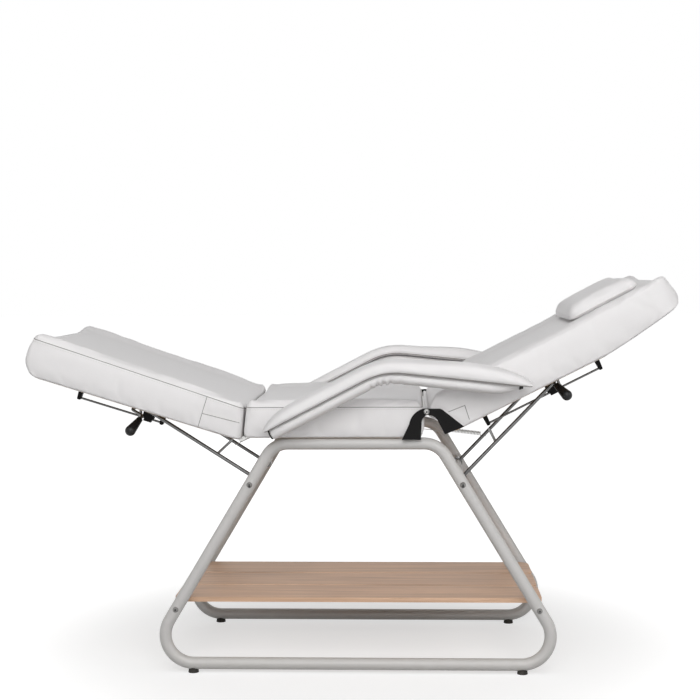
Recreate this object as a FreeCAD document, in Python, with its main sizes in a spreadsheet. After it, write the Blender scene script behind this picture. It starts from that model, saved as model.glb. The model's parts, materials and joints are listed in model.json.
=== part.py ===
# Beauty treatment chair: two bent tube side frames carry a fixed seat, a tilting back and a drop leg rest.
# +X points to the head end, +Y to the far side, +Z up. The origin is on the floor under the frame's centre.
import FreeCAD, Part
import math
import os

Vector = FreeCAD.Vector
Placement = FreeCAD.Placement
Rotation = FreeCAD.Rotation

# Driving sizes in millimetres and degrees
SIZES = {
    # side frames, cross bars and feet
    "tube_radius": 16.0,
    "tube_wall": 1.5,
    "frame_spacing": 540.0,
    "frame_foot_reach": 562.7,
    "frame_top_reach": 213.8,
    "frame_top_height": 605.2,
    "frame_bottom_bend": 75.0,
    "frame_top_bend": 65.0,
    "foot_height": 8.0,
    "foot_radius": 14.0,
    "foot_grip": 6.0,
    "foot_taper": 2.0,
    "foot_reach": 432.0,
    "cross_radius": 9.5,
    "upper_cross_drop": 106.3,
    "bolt_radius": 4.0,
    "bolt_grip": 25.0,
    "bolt_head_radius": 7.5,
    "bolt_head_height": 4.5,
    # shelf
    "shelf_length": 975.0,
    "shelf_overhang": 12.1,
    "shelf_width": 152.0,
    "shelf_gap": 6.0,
    "shelf_thickness": 12.0,
    "shelf_corner": 24.0,
    "shelf_edge": 2.5,
    # upholstered sections
    "cushion_half_width": 298.0,
    "cushion_draw": 5.0,
    "cushion_low_round": 8.0,
    "cushion_top_round": 13.0,
    "cushion_wall": 12.0,
    "cushion_end_inset": 7.0,
    "base_height": 44.0,
    "base_board": 12.0,
    "base_rail": 20.0,
    "seat_front": 284.0,
    "seat_rear": 178.0,
    "seat_thickness": 96.5,
    "seat_crown": 11.0,
    "seat_end_rise": 14.0,
    "seat_front_run": 18.0,
    "seat_front_drop": 14.0,
    "seat_rear_run": 22.0,
    "seat_rear_drop": 22.0,
    "back_front_bulge": 5.0,
    "back_front_run": 66.0,
    "back_front_rise": 42.0,
    "back_front_drop": 34.0,
    "back_base_start": 44.0,
    "back_length": 699.0,
    "back_under": 80.0,
    "back_over": 22.0,
    "back_crown": 13.0,
    "back_taper_start": 470.0,
    "back_bow_under": 68.8,
    "back_end_under": 52.0,
    "back_end_run": 30.0,
    "back_end_rise": 22.0,
    "back_end_drop": 14.0,
    "leg_start": 8.0,
    "leg_length": 604.0,
    "leg_under": 5.5,
    "leg_over": 88.0,
    "leg_crown": 11.0,
    "leg_start_run": 26.0,
    "leg_start_rise": 6.0,
    "leg_start_drop": 42.0,
    "leg_end_round": 34.0,
    "leg_end_drop": 14.0,
    # back and leg pivots
    "back_pivot_gap": 6.0,
    "back_pivot_rise": 69.5,
    "back_angle": 26.5,
    "leg_pivot_gap": 12.0,
    "leg_pivot_drop": 3.5,
    "leg_angle": 17.2,
    "plate_thickness": 4.0,
    "plate_eye": 9.0,
    "plate_foot_drop": 3.0,
    "leaf_thickness": 2.5,
    "leaf_half_width": 40.0,
    "leaf_length": 44.0,
    "leaf_offset": 215.0,
    "leaf_clear": 1.0,
    "knuckle_radius": 5.5,
    "knuckle_half": 13.0,
    "pin_radius": 2.5,
    # support struts, guides, clamps and levers
    "strut_radius": 5.0,
    "strut_half_width": 156.0,
    "strut_bend": 22.0,
    "strut_eye_radius": 14.0,
    "strut_eye_length": 24.0,
    "strut_brace_radius": 4.0,
    "back_brace_reach": 133.0,
    "leg_brace_reach": 120.0,
    "guide_radius": 3.0,
    "back_guide_drop": 133.5,
    "back_guide_start": 128.0,
    "back_guide_inset": 226.0,
    "back_clamp_reach": 329.2,
    "back_bar_rise": 38.0,
    "leg_guide_drop": 63.6,
    "leg_guide_start": 252.0,
    "leg_guide_inset": 109.0,
    "leg_clamp_reach": 292.4,
    "leg_bar_rise": 50.0,
    "bracket_top": 11.0,
    "bracket_foot": 5.2,
    "bracket_bevel": 2.0,
    "bracket_width": 16.0,
    "clamp_half_length": 11.0,
    "clamp_half_width": 9.0,
    "clamp_half_height": 8.0,
    "fork_gap": 9.5,
    "fork_finger": 7.0,
    "fork_half_width": 9.0,
    "fork_root": 4.0,
    "fork_floor": 22.0,
    "back_fork_above": 40.0,
    "leg_fork_above": 24.0,
    "lever_radius": 4.0,
    "lever_collar_radius": 7.5,
    "lever_collar_length": 11.0,
    "back_lever_rise": 48.0,
    "leg_lever_rise": 38.0,
    "back_lever_sweep": 24.0,
    "leg_lever_sweep": 40.0,
    "lever_root": 4.0,
    "lever_knee_out": 56.0,
    "lever_out": 180.0,
    "lever_grip_out": 226.0,
    "lever_knee_bend": 24.0,
    "lever_out_bend": 40.0,
    "lever_grip_bend": 14.0,
    "grip_start": 14.0,
    "grip_droop": 45.0,
    "grip_lean": 13.3,
    "grip_neck": 8.0,
    "grip_end": 14.0,
    "grip_length": 46.0,
    "grip_cover": 16.0,
    # springs
    "spring_wire": 1.0,
    "spring_radius": 5.5,
    "spring_eye": 8.0,
    "back_spring_turns": 22.0,
    "leg_spring_turns": 14.0,
    "back_spring_lead": 84.0,
    "leg_spring_lead": 36.0,
    "back_spring_reach": 107.0,
    "leg_spring_reach": 100.0,
    "stud_eye_rise": 8.0,
    "stud_radius": 3.0,
    "stud_head": 7.0,
    "stud_head_height": 3.0,
    "stud_length": 30.0,
    "stud_grip": 12.0,
    # arms
    "arm_gap": 57.0,
    "arm_tube_radius": 12.5,
    "arm_tube_wall": 1.5,
    "arm_front_reach": 212.0,
    "arm_front_rise": 17.5,
    "arm_bend_reach": 75.0,
    "arm_bend_rise": 165.5,
    "arm_rear_reach": 430.0,
    "arm_rear_rise": 127.0,
    "arm_bend": 150.0,
    "sleeve_radius": 16.0,
    "sleeve_inset": 14.0,
    "sleeve_tail": 70.0,
    "sleeve_tip": 7.0,
    "arm_pad_half_width": 45.0,
    "arm_pad_thickness": 33.0,
    "arm_pad_crown": 9.0,
    "arm_pad_front_over": 14.0,
    "arm_pad_front_run": 74.0,
    "arm_pad_rear_over": 22.0,
    "arm_pad_rear_run": 82.0,
    "arm_pad_tip_inset": 17.0,
    "arm_pad_swell": 3.3,
    "arm_pad_swell_reach": 150.0,
    "plug_cap": 4.0,
    "plug_depth": 14.0,
    "tip_plug_radius": 4.0,
    "arm_stud_radius": 5.0,
    "arm_spacer_radius": 9.0,
    # pillow
    "pillow_start": 432.0,
    "pillow_length": 205.0,
    "pillow_half_width": 170.0,
    "pillow_thickness": 46.0,
    "pillow_end_inset": 11.0,
    # clearances
    "seat_gap": 0.3,
    "running_gap": 0.06,
    "bolt_gap": 0.1,
    "soft_gap": 0.3,
}

doc = FreeCAD.newDocument("treatment_chair")
sheet = doc.addObject("Spreadsheet::Sheet", "Sizes")
for row, (alias, value) in enumerate(SIZES.items(), start=1):
    sheet.set(f"A{row}", alias)
    sheet.set(f"B{row}", str(value))
    sheet.setAlias(f"B{row}", alias)
doc.recompute()

nodes = []


def size(alias):
    """Read one driving size from the sheet."""
    return float(sheet.get(alias))


def bind(thing, **expressions):
    """Tie properties of a feature to expressions on the sheet."""
    for prop, expression in expressions.items():
        thing.setExpression(prop, expression)
    return thing


def keep(thing, name):
    """Name a finished sub-part, so that it is written to a file of its own."""
    thing.Label = name
    nodes.append(thing)
    return thing


def place(thing, frame, local=None):
    """Put a feature at a local placement inside one section's frame."""
    thing.Placement = frame.multiply(local) if local else frame
    return thing


def along(start, direction):
    """Placement at a point with its own Z axis along a direction."""
    return Placement(start, Rotation(Vector(0, 0, 1), direction))


def rod(name, start, end, radius, frame):
    """Round bar between two points of a frame, with its radius taken from the sheet."""
    bar = doc.addObject("Part::Cylinder", name)
    bind(bar, Radius=radius)
    bar.Height = (end - start).Length
    return place(bar, frame, along(start, end - start))


def block(name, low, high, frame):
    """Box between two opposite corners of a frame."""
    box = doc.addObject("Part::Box", name)
    box.Length = high.x - low.x
    box.Width = high.y - low.y
    box.Height = high.z - low.z
    return place(box, frame, Placement(low, Rotation()))


def fuse(name, shapes):
    """One solid from several that meet."""
    joined = doc.addObject("Part::MultiFuse", name)
    joined.Shapes = shapes
    joined.Refine = True
    return joined


def cut(name, base, tools):
    """A base with one or more tools taken away."""
    tool = tools[0] if len(tools) == 1 else fuse(name + "_tools", tools)
    result = doc.addObject("Part::Cut", name)
    result.Base = base
    result.Tool = tool
    return result


def group(name, shapes):
    """Separate like solids that share one sub-part."""
    result = doc.addObject("Part::Compound", name)
    result.Links = shapes
    return result


def bent_wire(points, bends, closed=False):
    """Straight runs joined by tangent arcs, one bend radius for each inner corner."""
    count = len(points)
    corners = []
    for index, point in enumerate(points):
        if not closed and index in (0, count - 1):
            corners.append((point, None, point))
            continue
        back = (points[index - 1] - point).normalize()
        ahead = (points[(index + 1) % count] - point).normalize()
        half = back.getAngle(ahead) / 2
        bend = bends[index]
        middle = point + (back + ahead).normalize() * (bend / math.sin(half) - bend)
        trim = bend / math.tan(half)
        corners.append((point + back * trim, middle, point + ahead * trim))
    edges = []
    for index, (start, middle, end) in enumerate(corners):
        if middle:
            edges.append(Part.Arc(start, middle, end).toShape())
        if closed or index < count - 1:
            edges.append(Part.LineSegment(end, corners[(index + 1) % count][0]).toShape())
    return Part.Wire(edges)


def wire_object(name, wire, frame=Placement()):
    """Helper line of the document that a sweep, loft or extrusion reads."""
    line = doc.addObject("Part::Feature", name)
    line.Shape = wire
    line.Placement = frame
    return line


def swept_tube(name, wire, radius, frame=Placement()):
    """Round bar along a line of runs and arcs; radius is an expression on the sheet."""
    path = wire_object(name + "_path", wire, frame)
    first = path.Shape.OrderedEdges[0]
    start = first.valueAt(first.FirstParameter)
    ring = doc.addObject("Part::Circle", name + "_ring")
    bind(ring, Radius=radius)
    ring.Placement = along(start, first.tangentAt(first.FirstParameter))
    sweep = doc.addObject("Part::Sweep", name)
    sweep.Sections = [ring]
    sweep.Spine = (path, [f"Edge{number + 1}" for number in range(len(path.Shape.Edges))])
    sweep.Solid = True
    return sweep


def prism(name, points, width, frame, y_middle=0.0):
    """Flat outline in a frame's XZ plane, given thickness along Y about y_middle."""
    outline = Part.makePolygon([Vector(x, y_middle, z) for x, z in points + points[:1]])
    return extruded(name, outline, width, frame)


def extruded(name, outline, width, frame):
    """Closed outline thickened evenly to both sides along the frame's Y axis."""
    path = wire_object(name + "_outline", outline, frame)
    solid = doc.addObject("Part::Extrusion", name)
    solid.Base = path
    solid.DirMode = "Custom"
    solid.Dir = Vector(0, 1, 0)
    bind(solid, LengthFwd=width)
    solid.Symmetric = True
    solid.Solid = True
    return solid


def leg_reach(height):
    """Distance from the frame's middle to a leg's centre line at a height."""
    low = size("foot_height") + size("tube_radius")
    share = (height - low) / (size("frame_top_height") - low)
    return size("frame_foot_reach") + share * (size("frame_top_reach") - size("frame_foot_reach"))


def leg_height(reach):
    """Height at which a leg's centre line lies at a distance from the frame's middle."""
    low = size("foot_height") + size("tube_radius")
    share = (size("frame_foot_reach") - reach) / (size("frame_foot_reach") - size("frame_top_reach"))
    return low + share * (size("frame_top_height") - low)


WORLD = Placement()
CUT_PAST = 1.0  # how far a cutting tool runs past the face that it opens
END_TURNS = (0, 30, 60, 90)  # degrees round a cushion's end, from its face inwards
TIP_TURNS = (12, 32, 58, 90)  # the same for a pad that comes down to a thin tip
SIDE_SHARES = (0.2, 0.5, 0.8)  # places along a cushion where its drawn-in sides are set
END_CROWN = 0.3  # share of the crown that is left at a cushion's end face
NOSE_CROWN = 0.02  # the same at the back's lower end, which turns close to the seat
ARM_STUD_SHARES = (0.14, 0.4)  # places of the arm studs along an arm's front run
ARM_BEND_STEPS = 8  # sections of an arm pad round the bend
TAIL_SHARES = (0.0, 0.3, 0.65, 1.0)  # places of the rings along the tapered rear end of a sleeve
TAIL_POWER = 1.5  # how slowly that end starts to narrow
PAD_LOW_ROUND, PAD_TOP_ROUND = 0.25, 0.5  # corner radii of an arm pad as shares of its thickness
PILLOW_EDGE, PILLOW_BULGE = 0.55, 0.35  # height of the pillow's side, and how far the side swells
WIRE_NEIGHBOURS = 16  # points of a spring's wire that lie too near along it to be compared
HALF_SPACING = size("frame_spacing") / 2
SIDES = {"near": -1, "far": 1}
ENDS = {"leg": -1, "back": 1}
SEAT_UNDER = size("frame_top_height") + size("tube_radius") + size("seat_gap")
BACK_PIVOT = Vector(size("seat_rear") + size("back_pivot_gap"), 0, SEAT_UNDER + size("back_pivot_rise"))
LEG_PIVOT = Vector(-size("seat_front") - size("leg_pivot_gap"), 0, SEAT_UNDER - size("leg_pivot_drop"))
BACK_FRAME = Placement(BACK_PIVOT, Rotation(Vector(0, 1, 0), -size("back_angle")))
LEG_FRAME = Placement(LEG_PIVOT, Rotation(Vector(0, 1, 0), size("leg_angle")).multiply(
    Rotation(Vector(0, 0, 1), 180)))
SEAT_FRAME = Placement(Vector(0, 0, SEAT_UNDER), Rotation())
ARM_OFFSET = size("cushion_half_width") + size("arm_gap")


CROSS_HEIGHTS = {
    "lower": leg_height(size("shelf_length") / 2 - size("shelf_overhang")),
    "upper": size("frame_top_height") - size("upper_cross_drop"),
}


def cross_point(level, end):
    """Middle of a cross bar on the line of the frame's legs."""
    height = CROSS_HEIGHTS[level]
    return Vector(ENDS[end] * leg_reach(height), 0, height)


CROSS_POINTS = {(level, end): cross_point(level, end) for level in ("lower", "upper") for end in ENDS}


def side_frame_loop(name, y_place, radius):
    """Closed trapezoid loop of one side frame at a given radius."""
    low = size("foot_height") + size("tube_radius")
    corners = [
        Vector(-size("frame_foot_reach"), y_place, low),
        Vector(size("frame_foot_reach"), y_place, low),
        Vector(size("frame_top_reach"), y_place, size("frame_top_height")),
        Vector(-size("frame_top_reach"), y_place, size("frame_top_height")),
    ]
    bends = [size("frame_bottom_bend")] * 2 + [size("frame_top_bend")] * 2
    return swept_tube(name, bent_wire(corners, bends, closed=True), radius)


def bolt_head(name, seat, outward, frame):
    """Low domed head of a bolt, standing on its seat."""
    head = doc.addObject("Part::Cone", name)
    bind(head, Radius1="Sizes.bolt_head_radius", Radius2="Sizes.bolt_radius", Height="Sizes.bolt_head_height")
    return place(head, frame, along(seat, outward))


def build_frame():
    """Side frames, cross bars, bolts and feet."""
    outers = []
    for side, sign in SIDES.items():
        y_place = sign * HALF_SPACING
        outer = side_frame_loop(f"{side}_outer", y_place, "Sizes.tube_radius")
        inner = side_frame_loop(f"{side}_inner", y_place, "Sizes.tube_radius - Sizes.tube_wall")
        reach = Vector(0, size("tube_radius") + CUT_PAST, 0)
        holes = [
            rod(f"{side}_{level}_{end}_hole", point + Vector(0, y_place, 0) - reach,
                point + Vector(0, y_place, 0) + reach, "Sizes.bolt_radius + Sizes.bolt_gap", WORLD)
            for (level, end), point in CROSS_POINTS.items()
        ]
        keep(cut(f"side_frame_{side}", outer, [inner] + holes), f"side_frame_{side}")
        outers.append(outer)

    bolts = []
    for (level, end), point in CROSS_POINTS.items():
        span = Vector(0, HALF_SPACING, 0)
        bar = rod(f"{level}_{end}_bar", point - span, point + span, "Sizes.cross_radius", WORLD)
        taps = []
        for sign in SIDES.values():
            depth = size("tube_radius") + size("bolt_grip")
            inner_end = point + Vector(0, sign * (HALF_SPACING - depth), 0)
            outer_end = point + Vector(0, sign * (HALF_SPACING + size("tube_radius")), 0)
            taps.append(rod(f"{level}_{end}_tap", inner_end, outer_end,
                            "Sizes.bolt_radius + Sizes.bolt_gap", WORLD))
            shank = rod(f"{level}_{end}_shank", inner_end, outer_end, "Sizes.bolt_radius", WORLD)
            head = bolt_head(f"{level}_{end}_head", outer_end, Vector(0, sign, 0), WORLD)
            bolts.append(fuse(f"{level}_{end}_bolt", [shank, head]))
        keep(cut(f"{level}_cross_bar_{end}", bar, outers + taps), f"{level}_cross_bar_{end}")
    keep(group("frame_bolts", bolts), "frame_bolts")

    feet = []
    for side, sign in SIDES.items():
        for end, lean in ENDS.items():
            foot = doc.addObject("Part::Cone", f"foot_{side}_{end}_cone")
            bind(foot, Radius1="Sizes.foot_radius", Radius2="Sizes.foot_radius - Sizes.foot_taper",
                 Height="Sizes.foot_height + Sizes.foot_grip")
            foot.Placement.Base = Vector(lean * size("foot_reach"), sign * HALF_SPACING, 0)
            feet.append(cut(f"foot_{side}_{end}", foot, [outers[0] if sign < 0 else outers[1]]))
    keep(group("rubber_feet", feet), "rubber_feet")


def build_shelf():
    """Three boards with rounded corners, lying on the lower cross bars."""
    pitch = size("shelf_width") + size("shelf_gap")
    top_of_bar = CROSS_HEIGHTS["lower"] + size("cross_radius")
    for step, name in ((-1, "near"), (0, "middle"), (1, "far")):
        board = doc.addObject("Part::Box", f"shelf_{name}_blank")
        bind(board, Length="Sizes.shelf_length", Width="Sizes.shelf_width", Height="Sizes.shelf_thickness")
        board.Placement.Base = Vector(-size("shelf_length") / 2, step * pitch - size("shelf_width") / 2,
                                      top_of_bar)
        doc.recompute()
        upright = doc.addObject("Part::Fillet", f"shelf_{name}_corners")
        upright.Base = board
        upright.Edges = [(number + 1, size("shelf_corner"), size("shelf_corner"))
                         for number, edge in enumerate(board.Shape.Edges)
                         if abs(edge.tangentAt(edge.FirstParameter).z) > 0.9]
        doc.recompute()
        soft = doc.addObject("Part::Fillet", f"shelf_board_{name}")
        soft.Base = upright
        top = top_of_bar + size("shelf_thickness")
        soft.Edges = [(number + 1, size("shelf_edge"), size("shelf_edge"))
                      for number, edge in enumerate(upright.Shape.Edges)
                      if all(abs(vertex.Z - top) < 1e-6 for vertex in edge.Vertexes)]
        keep(soft, f"shelf_board_{name}")


def padded_section(place_x, half_width, low, edge, crown, low_round, top_round):
    """Cross-section of a cushion: flat underside, soft corners, upright sides and a crowned top."""
    def point(y, z):
        return Vector(place_x, y, z)

    slant = 1 - math.sqrt(0.5)
    right = half_width
    edges = [Part.LineSegment(point(-right + low_round, low), point(right - low_round, low)).toShape()]
    edges.append(Part.Arc(point(right - low_round, low),
                          point(right - low_round * slant, low + low_round * slant),
                          point(right, low + low_round)).toShape())
    edges.append(Part.LineSegment(point(right, low + low_round), point(right, edge - top_round)).toShape())
    edges.append(Part.Arc(point(right, edge - top_round),
                          point(right - top_round * slant, edge - top_round * slant),
                          point(right - top_round, edge)).toShape())
    edges.append(Part.Arc(point(right - top_round, edge), point(0, edge + crown),
                          point(-right + top_round, edge)).toShape())
    edges.append(Part.Arc(point(-right + top_round, edge),
                          point(-right + top_round * slant, edge - top_round * slant),
                          point(-right, edge - top_round)).toShape())
    edges.append(Part.LineSegment(point(-right, edge - top_round), point(-right, low + low_round)).toShape())
    edges.append(Part.Arc(point(-right, low + low_round),
                          point(-right + low_round * slant, low + low_round * slant),
                          point(-right + low_round, low)).toShape())
    return Part.Wire(edges)


def lofted(name, wires, frames, ruled):
    """Solid through a row of cross-sections, each in its own frame."""
    loft = doc.addObject("Part::Loft", name)
    loft.Sections = [wire_object(f"{name}_rib_{number}", wire, frame)
                     for number, (wire, frame) in enumerate(zip(wires, frames))]
    loft.Solid = True
    loft.Ruled = ruled
    return loft


def cushion_loft(name, stations, frame):
    """Cushion through stations of (place, inset of the sides, underside, top edge, crown)."""
    wires = [
        padded_section(place_x, size("cushion_half_width") - inset, low, edge, crown,
                       size("cushion_low_round"), size("cushion_top_round"))
        for place_x, inset, low, edge, crown in stations
    ]
    return lofted(name, wires, [frame] * len(wires), ruled=True)


def rounded_end(face, inward, run, low, edge, crown, rise, drop, crown_left=END_CROWN):
    """Stations from a cushion's end face inwards, its lower and upper edges rounded as ellipses."""
    stations = []
    for turn in END_TURNS:
        angle = math.radians(turn)
        inside, left = 1 - math.cos(angle), 1 - math.sin(angle)
        stations.append((face + inward * run * inside, size("cushion_end_inset") * left,
                         low + rise * left, edge - drop * left,
                         crown * (crown_left + (1 - crown_left) * inside)))
    return stations


def drawn_sides(start, end, low, edge, crown):
    """Stations between a cushion's ends, where the cover pulls the sides in."""
    draw = size("cushion_draw")
    return [(start + share * (end - start), draw * (1 - (2 * share - 1) ** 2), low, edge, crown)
            for share in SIDE_SHARES]


def base_width(trim):
    """Expression for the width of a base, trimmed all round by an expression."""
    return f"2 * (Sizes.cushion_half_width - Sizes.cushion_draw - Sizes.cushion_wall - ({trim}))"


def base_form(name, underside, frame, gap):
    """Closed outside form of a base above its lower line, grown all round by a gap."""
    (start, first_low), (end, last_low) = underside[0], underside[-1]
    high = first_low + size("base_height") + gap
    outline = [(start - gap, first_low - gap)] + [(x, z - gap) for x, z in underside[1:-1]]
    outline += [(end + gap, last_low - gap), (end + gap, high), (start - gap, high)]
    return prism(name, outline, base_width(f"{-gap}"), frame)


def rails_and_board(name, underside, recess_end, frame):
    """Plywood base: a board on a ring of rails, open underneath so that the support can move in it."""
    start, low = underside[0]
    roof = low + size("base_height") - size("base_board")
    first = start + size("base_rail")
    room = [(first, low - CUT_PAST), (recess_end, low - CUT_PAST), (recess_end, roof), (first, roof)]
    hollow = prism(f"{name}_hollow", room, base_width("Sizes.base_rail"), frame)
    return cut(name, base_form(f"{name}_form", underside, frame, 0.0), [hollow])


def build_seat():
    """Seat base on the frame's top tubes, with its cushion round it."""
    front, rear = -size("seat_front"), size("seat_rear")
    shape = (0.0, size("seat_thickness"), size("seat_crown"))
    rise = size("seat_end_rise")
    stations = rounded_end(front, 1, size("seat_front_run"), *shape, rise, size("seat_front_drop"))
    stations += drawn_sides(front, rear, *shape)
    stations += reversed(rounded_end(rear, -1, size("seat_rear_run"), *shape, rise, size("seat_rear_drop")))
    loft = cushion_loft("seat_cushion_form", stations, SEAT_FRAME)
    underside = [(front + size("cushion_wall"), 0.0), (rear - size("cushion_wall"), 0.0)]
    pocket = base_form("seat_pocket", underside, SEAT_FRAME, size("soft_gap"))
    stud_room = arm_stud_holes("seat_side", "Sizes.arm_stud_radius + Sizes.soft_gap")
    keep(cut("seat_cushion", loft, [pocket] + stud_room), "seat_cushion")
    holes = arm_stud_holes("seat_rail", "Sizes.arm_stud_radius + Sizes.bolt_gap")
    sockets = [stud_bar(end, "socket", "Sizes.stud_radius + Sizes.bolt_gap") for end in ENDS]
    blank = rails_and_board("seat_blank", underside, underside[-1][0] - size("base_rail"), SEAT_FRAME)
    keep(cut("seat_base", blank, holes + sockets), "seat_base")


def build_back():
    """Back base and cushion, thinner towards the head end."""
    start, end = -size("back_front_bulge"), size("back_length")
    last = end - size("back_end_run")
    low, edge, crown = -size("back_under"), size("back_over"), size("back_crown")
    taper, bow, head_low = size("back_taper_start"), -size("back_bow_under"), -size("back_end_under")
    middle = (taper + last) / 2
    stations = rounded_end(start, 1, size("back_front_run"), low, edge, crown, size("back_front_rise"),
                           size("back_front_drop"), NOSE_CROWN)
    stations += drawn_sides(start, taper, low, edge, crown)
    stations += [(taper, 0.0, low, edge, crown), (middle, 0.0, bow, edge, crown)]
    stations += reversed(rounded_end(end, -1, size("back_end_run"), head_low, edge, crown,
                                     size("back_end_rise"), size("back_end_drop")))
    loft = cushion_loft("back_cushion_form", stations, BACK_FRAME)
    underside = [(size("back_base_start"), low), (taper, low), (middle, bow),
                 (last - size("cushion_wall"), head_low)]
    pocket = base_form("back_pocket", underside, BACK_FRAME, size("soft_gap"))
    keep(cut("back_cushion", loft, [pocket]), "back_cushion")
    keep(rails_and_board("back_base", underside, middle, BACK_FRAME), "back_base")


def build_leg_rest():
    """Leg-rest base and cushion, with a rounded lower edge at the foot end."""
    start, end = size("leg_start"), size("leg_length")
    low, curve = -size("leg_under"), size("leg_end_round")
    shape = (low, size("leg_over"), size("leg_crown"))
    stations = rounded_end(start, 1, size("leg_start_run"), *shape, size("leg_start_rise"),
                           size("leg_start_drop"))
    stations += drawn_sides(start, end, *shape)
    stations += reversed(rounded_end(end, -1, curve, *shape, curve, size("leg_end_drop")))
    loft = cushion_loft("leg_cushion_form", stations, LEG_FRAME)
    wall = size("cushion_wall")
    underside = [(start + wall, low), (end - curve - wall, low)]
    pocket = base_form("leg_pocket", underside, LEG_FRAME, size("soft_gap"))
    keep(cut("leg_cushion", loft, [pocket]), "leg_cushion")
    keep(rails_and_board("leg_base", underside, underside[-1][0] - size("base_rail"), LEG_FRAME), "leg_base")


def plate_y(sign, layer):
    """Middle of a hinge plate across the chair: layer 0 lies on the cushion, layer 1 outside it."""
    first = size("cushion_half_width") + size("soft_gap") + size("plate_thickness") / 2
    return sign * (first + layer * (size("plate_thickness") + size("soft_gap")))


def plate_outline(parts, y_place):
    """Closed outline of runs and arcs, each a row of two or three points in the plate's plane."""
    edges = []
    for points in parts:
        spots = [Vector(x, y_place, z) for x, z in points]
        edges.append(Part.LineSegment(*spots) if len(spots) == 2 else Part.Arc(*spots))
    return Part.Wire([edge.toShape() for edge in edges])


def build_hinge_plates():
    """Black arched plates of the back hinge: one on the seat, one on the back, and their pivot bolt."""
    eye, thick = size("plate_eye"), size("plate_thickness")
    foot = -size("back_pivot_rise") - size("plate_foot_drop")
    seat_parts = [
        [(-64, foot), (-15, foot)], [(-15, foot), (-13, -31)], [(-13, -31), (-8, -15), (0, -eye)],
        [(0, -eye), (eye, 0), (0, eye)], [(0, eye), (-31, -5), (-45, -32)], [(-45, -32), (-64, foot)],
    ]
    back_parts = [
        [(0, eye), (-eye, 0), (0, -eye)], [(0, -eye), (11, -19), (15, -34)], [(15, -34), (16, -73)],
        [(16, -73), (69, -77)], [(69, -77), (41, -18)], [(41, -18), (38, -12), (33, -7)],
        [(33, -7), (0, eye)],
    ]
    back_screws = [(29, -57), (46, -58)]
    pivot_frame = Placement(BACK_PIVOT, Rotation())
    for side, sign in SIDES.items():
        inner_y, outer_y = plate_y(sign, 0), plate_y(sign, 1)
        inner_face = inner_y - sign * thick / 2
        outer_face = outer_y + sign * (thick / 2 + size("soft_gap"))
        past = sign * CUT_PAST
        bore = rod(f"{side}_pivot_bore", Vector(0, inner_face - past, 0), Vector(0, outer_face + past, 0),
                   "Sizes.bolt_radius + Sizes.running_gap", pivot_frame)
        seat_plate = extruded(f"{side}_seat_plate", plate_outline(seat_parts, inner_y),
                              "Sizes.plate_thickness", pivot_frame)
        keep(cut(f"seat_hinge_plate_{side}", seat_plate, [bore]), f"seat_hinge_plate_{side}")
        back_plate = extruded(f"{side}_back_plate", plate_outline(back_parts, outer_y),
                              "Sizes.plate_thickness", BACK_FRAME)
        bosses = [rod(f"{side}_boss", Vector(x, outer_y, z), Vector(x, inner_face, z),
                      "Sizes.bolt_head_radius", BACK_FRAME) for x, z in back_screws]
        joined = fuse(f"{side}_plate_boss", [back_plate] + bosses)
        keep(cut(f"back_hinge_plate_{side}", joined, [bore]), f"back_hinge_plate_{side}")
        shank = rod(f"{side}_pivot_shank", Vector(0, inner_face, 0), Vector(0, outer_face, 0),
                    "Sizes.bolt_radius", pivot_frame)
        head = bolt_head(f"{side}_pivot_head", Vector(0, outer_face, 0), Vector(0, sign, 0), pivot_frame)
        keep(fuse(f"back_pivot_bolt_{side}", [shank, head]), f"back_pivot_bolt_{side}")


def build_leg_hinges():
    """Two leaf hinges under the joint of seat and leg rest; the pin stays with the leg rest."""
    axis = LEG_PIVOT
    half, knuckle = size("leaf_half_width"), size("knuckle_half")
    clear = size("knuckle_radius") + size("leaf_clear")
    leaf = size("leaf_thickness")
    top = SEAT_UNDER - size("seat_gap") / 2
    for side, sign in SIDES.items():
        middle = sign * size("leaf_offset")
        plate = block(f"{side}_seat_leaf", Vector(axis.x + clear, middle - half, top - leaf),
                      Vector(axis.x + size("leaf_length"), middle + half, top), WORLD)
        tongue = block(f"{side}_seat_tongue", Vector(axis.x, middle - knuckle, top - leaf),
                       Vector(axis.x + clear, middle + knuckle, top), WORLD)
        barrel = rod(f"{side}_seat_barrel", axis + Vector(0, middle - knuckle, 0),
                     axis + Vector(0, middle + knuckle, 0), "Sizes.knuckle_radius", WORLD)
        bore = rod(f"{side}_pin_bore", axis + Vector(0, middle - half, 0), axis + Vector(0, middle + half, 0),
                   "Sizes.pin_radius + Sizes.running_gap", WORLD)
        keep(cut(f"seat_hinge_leaf_{side}", fuse(f"{side}_seat_leaf_all", [plate, tongue, barrel]), [bore]),
             f"seat_hinge_leaf_{side}")

        under = -size("leg_under") - size("seat_gap")
        pieces = [block(f"{side}_leg_leaf", Vector(clear, -middle - half, under - leaf),
                        Vector(size("leaf_length"), -middle + half, under), LEG_FRAME)]
        for step in (-1, 1):
            ends = sorted((-middle + step * (knuckle + size("soft_gap")), -middle + step * half))
            pieces.append(block(f"{side}_leg_tongue", Vector(0, ends[0], under - leaf),
                                Vector(clear, ends[1], under + leaf), LEG_FRAME))
            pieces.append(rod(f"{side}_leg_barrel", Vector(0, ends[0], 0), Vector(0, ends[1], 0),
                              "Sizes.knuckle_radius", LEG_FRAME))
        pieces.append(rod(f"{side}_leg_pin", Vector(0, -middle - half, 0), Vector(0, -middle + half, 0),
                          "Sizes.pin_radius", LEG_FRAME))
        keep(fuse(f"leg_hinge_leaf_{side}", pieces), f"leg_hinge_leaf_{side}")


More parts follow.
